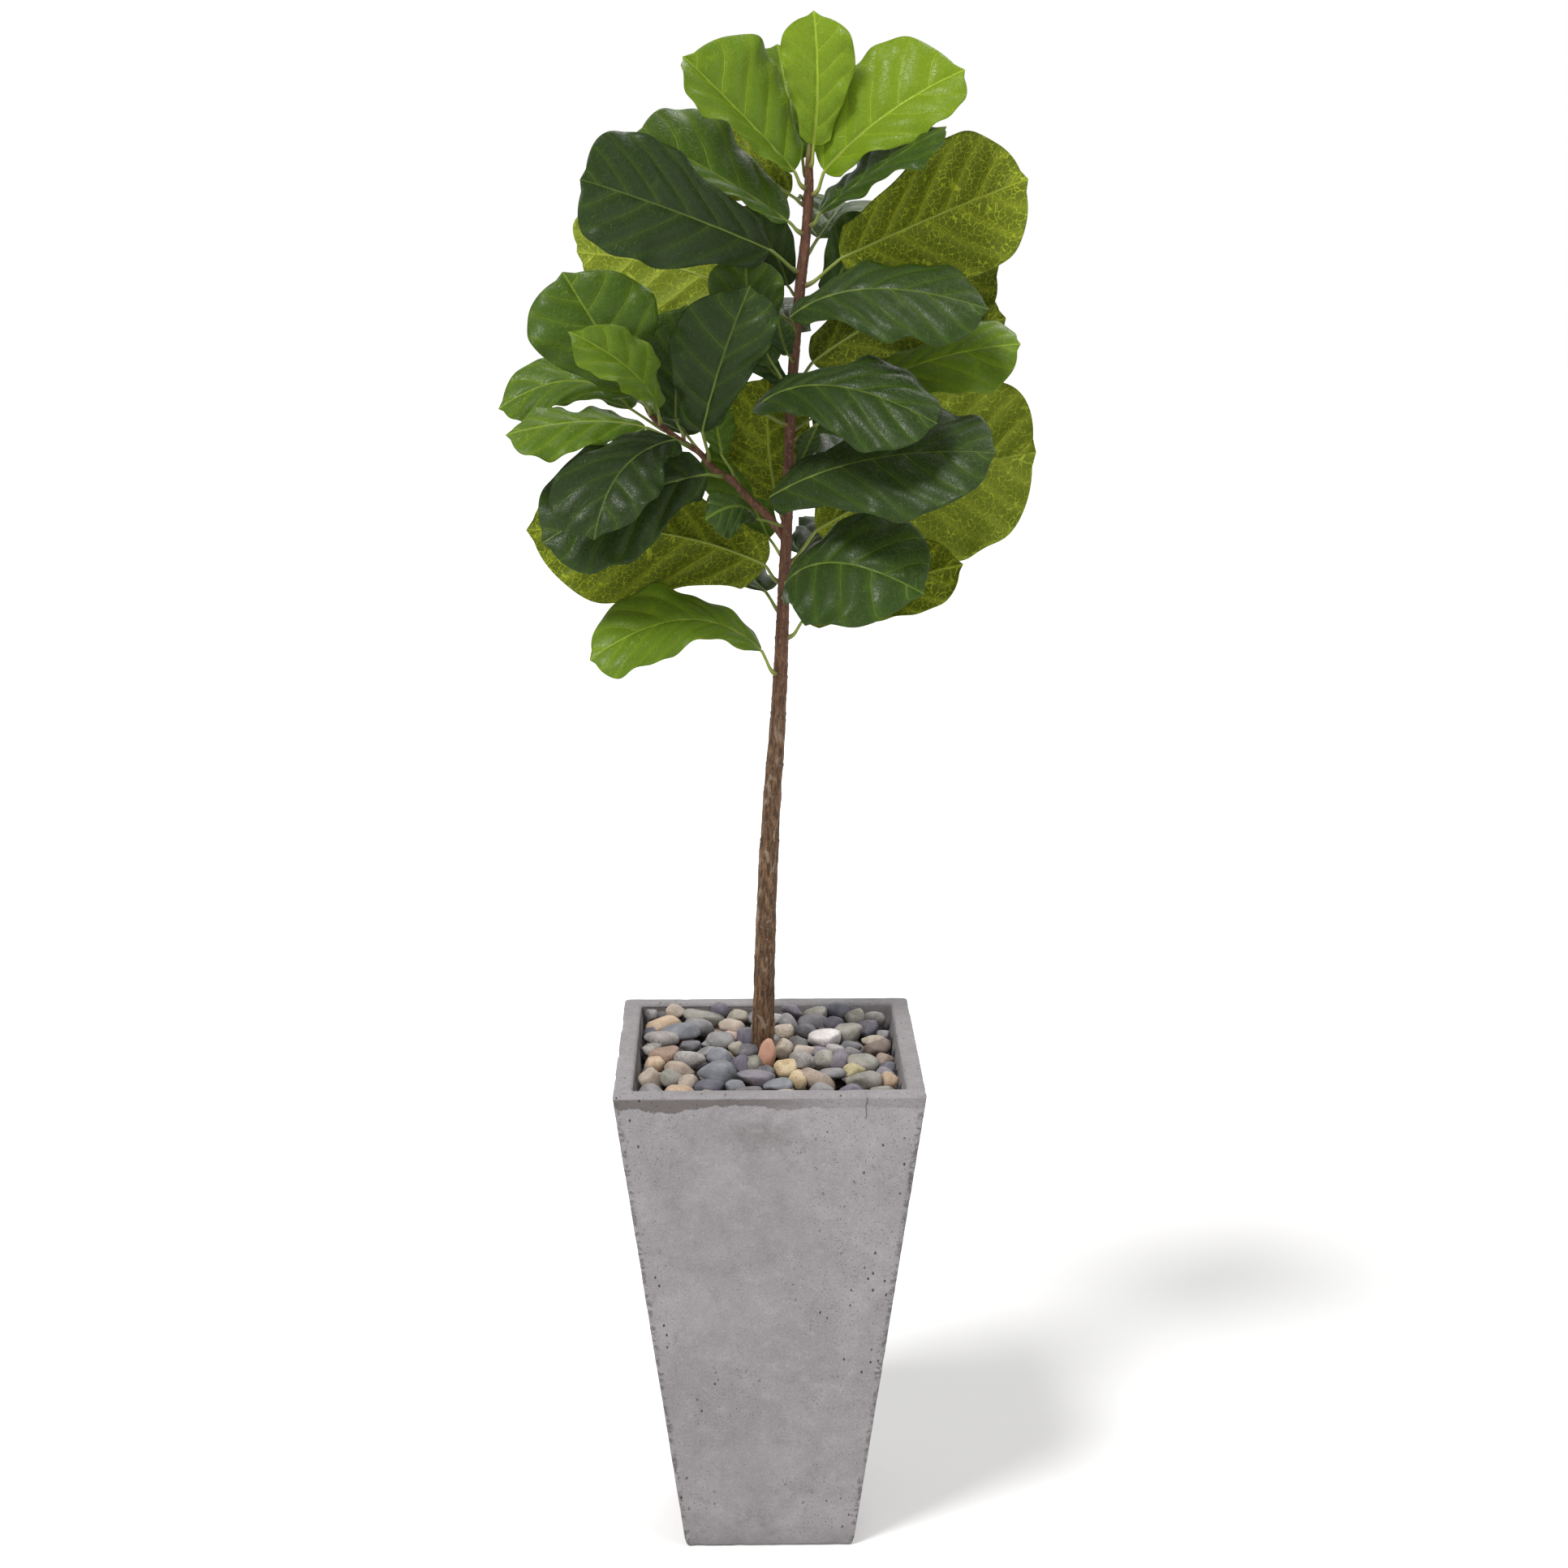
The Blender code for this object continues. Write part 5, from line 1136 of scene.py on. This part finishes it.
def planter_profile():
    """Rows of the shell from the middle of its underside, up the outside, over the rim and down inside.

    Each row is the half width, the height, how far the skin there may wear, and 1 outside or -1 inside."""
    rows = [(PLANTER_BOTTOM / 2 * s, 0.0, 0.0, 1) for s in (0.05, 0.3, 0.6, 0.85)]

    def outer(height):
        return side_at(height) / 2

    def inner(height):
        return outer(height) - WALL

    for i in range(6):
        bend = math.pi / 2 * i / 5
        drawn_in = FOOT_ROUND * (1 - math.sin(bend))
        rows.append((outer(0.0) - drawn_in, FOOT_ROUND * (1 - math.cos(bend)), 1.0, 1))
    for height in np.linspace(FOOT_ROUND, PLANTER_HEIGHT - RIM_ROUND, WALL_ROWS)[1:-1]:
        rows.append((outer(height), height, 1.0, 1))
    for i in range(6):
        bend = math.pi / 2 * i / 5
        height = PLANTER_HEIGHT - RIM_ROUND * (1 - math.sin(bend))
        rows.append((outer(height) - RIM_ROUND * (1 - math.cos(bend)), height, 1.0, 1))
    top = outer(PLANTER_HEIGHT) - RIM_ROUND
    low = inner(PLANTER_HEIGHT) + RIM_ROUND
    for i in range(1, 7):
        rows.append((top + (low - top) * i / 7, PLANTER_HEIGHT, 0.4, 1))
    for i in range(6):
        bend = math.pi / 2 * i / 5
        height = PLANTER_HEIGHT - RIM_ROUND * (1 - math.cos(bend))
        rows.append((inner(height) + RIM_ROUND * (1 - math.sin(bend)), height, 0.6, -1))
    for height in np.linspace(PLANTER_HEIGHT - RIM_ROUND, FLOOR, 40)[1:]:
        rows.append((inner(height), height, 0.5, -1))
    rows += [(inner(FLOOR) * s, FLOOR, 0.0, -1) for s in (0.7, 0.35, 0.05)]
    return rows


def build_planter(look):
    points = []
    rows = planter_profile()
    for half, height, wear, facing in rows:
        corner = min(CORNER_ROUND, half * 0.4)
        ring, ways = square_ring(half, corner)
        for (x, y), (wx, wy) in zip(ring, ways):
            seat = Vector((x, y, height))
            cast = 0.5 + 0.5 * noise.noise(seat * 14.0)
            skin = 0.5 + 0.5 * noise.noise(seat * 75.0 + Vector((9, 0, 0)))
            chip = max(0.0, noise.noise(seat * 48.0 + Vector((0, 7, 0))) - 0.18)
            edge = math.exp(-(((height - PLANTER_HEIGHT) / 0.006) ** 2)) + math.exp(-((height / 0.008) ** 2))
            corner_wear = 1.0 if abs(wx * wy) > 0.01 else 0.0
            chipped = CHIP_DEEP * chip * min(1.0, edge + corner_wear)
            deep = wear * (CAST_DEEP * cast + SKIN_DEEP * skin + chipped)
            below = PLANTER_HEIGHT - height
            if facing > 0 and wy < -0.9 and BAND_TOP < below < BAND_TOP + BAND_HIGH:
                ragged = noise.noise(Vector((x * 60.0, below * 190.0, 3.0))) + 0.25 - max(0.0, x) * 2.0
                swell = math.sin(math.pi * (below - BAND_TOP) / BAND_HIGH)
                deep += BAND_DEEP * max(0.0, min(1.0, ragged * 2.0)) * swell
            down = 0.5 * deep if height > PLANTER_HEIGHT - RIM_ROUND else 0.0
            points.append((x - wx * deep * facing, y - wy * deep * facing, height - down))
    around = 4 * (SIDE_POINTS + CORNER_POINTS)
    faces = loft_faces(len(rows), around)
    mesh = mesh_from("planter", points, faces)
    return piece("planter", mesh, "planter", ["planter"], look)


# ---------------------------------------------------------------- stage


def build_camera():
    lens = bpy.data.cameras.new("camera")
    lens.lens = CAMERA_LENS
    lens.sensor_width = 36.0
    made = bpy.data.objects.new("camera", lens)
    made.location = CAMERA_PLACE
    made.rotation_euler = (math.radians(90.0 - CAMERA_PITCH), 0.0, -math.radians(CAMERA_YAW))
    bpy.context.scene.collection.objects.link(made)
    bpy.context.scene.camera = made


def build_light(name, place, softness, power, colour):
    """A soft sun that shines from a place toward the planter's foot."""
    data = bpy.data.lights.new(name, "SUN")
    data.angle = math.radians(softness)
    data.energy = power
    data.color = colour
    made = bpy.data.objects.new(name, data)
    made.location = place
    made.rotation_euler = (-Vector(place)).to_track_quat("-Z", "Y").to_euler()
    bpy.context.scene.collection.objects.link(made)


def build_stage():
    floor = bmesh.new()
    bmesh.ops.create_grid(floor, x_segments=2, y_segments=2, size=15.0)
    mesh = bpy.data.meshes.new("floor")
    floor.to_mesh(mesh)
    floor.free()
    made = bpy.data.objects.new("floor", mesh)
    bpy.context.scene.collection.objects.link(made)
    look = Look("floor")
    mesh.materials.append(look.finish((0.93, 0.93, 0.93, 1.0), 0.9, Specular_IOR_Level=0.1))

    world = bpy.data.worlds.new("studio")
    world.use_nodes = True
    nodes, links = world.node_tree.nodes, world.node_tree.links
    direction = nodes.new("ShaderNodeTexCoord")
    axes = nodes.new("ShaderNodeSeparateXYZ")
    fall = nodes.new("ShaderNodeMapRange")
    fall.interpolation_type = "SMOOTHSTEP"
    fall.inputs["From Min"].default_value = 0.10
    fall.inputs["From Max"].default_value = 0.45
    fall.inputs["To Min"].default_value = 1.0
    fall.inputs["To Max"].default_value = SKY_OVERHEAD
    links.new(direction.outputs["Generated"], axes.inputs[0])
    links.new(axes.outputs["Z"], fall.inputs["Value"])
    links.new(fall.outputs["Result"], nodes["Background"].inputs["Color"])
    bpy.context.scene.world = world
    bpy.context.scene.view_settings.view_transform = "Standard"
    for light in LIGHTS:
        build_light(*light)


# ---------------------------------------------------------------- whole


def main():
    build_camera()
    build_stage()
    build_planter(concrete())
    build_soil(soil())
    build_pebbles({name: river_stone(name, *kind) for name, kind in STONES.items()})

    joints = {"trunk": (smooth_line(TRUNK_LINE, 40), True), "branch": (smooth_line(BRANCH_LINE, 20), False)}
    build_trunk(smooth_line(TRUNK_LINE, TRUNK_RINGS), smooth_line(BRANCH_LINE, BRANCH_RINGS), bark())
    looks = (leaf_upper(), leaf_under(), leaf_stalk())
    for seed, (name, (on, where, *shape)) in enumerate(LEAVES.items()):
        line, by_height = joints[on]
        slot = "young_leaf" if name.startswith("crown") else "leaf"
        leaf("leaf_" + name, joint_on(line, where, by_height), *shape, LEAF_AGE_AND_LIGHT_TONES[name], seed, slot, looks)


main()
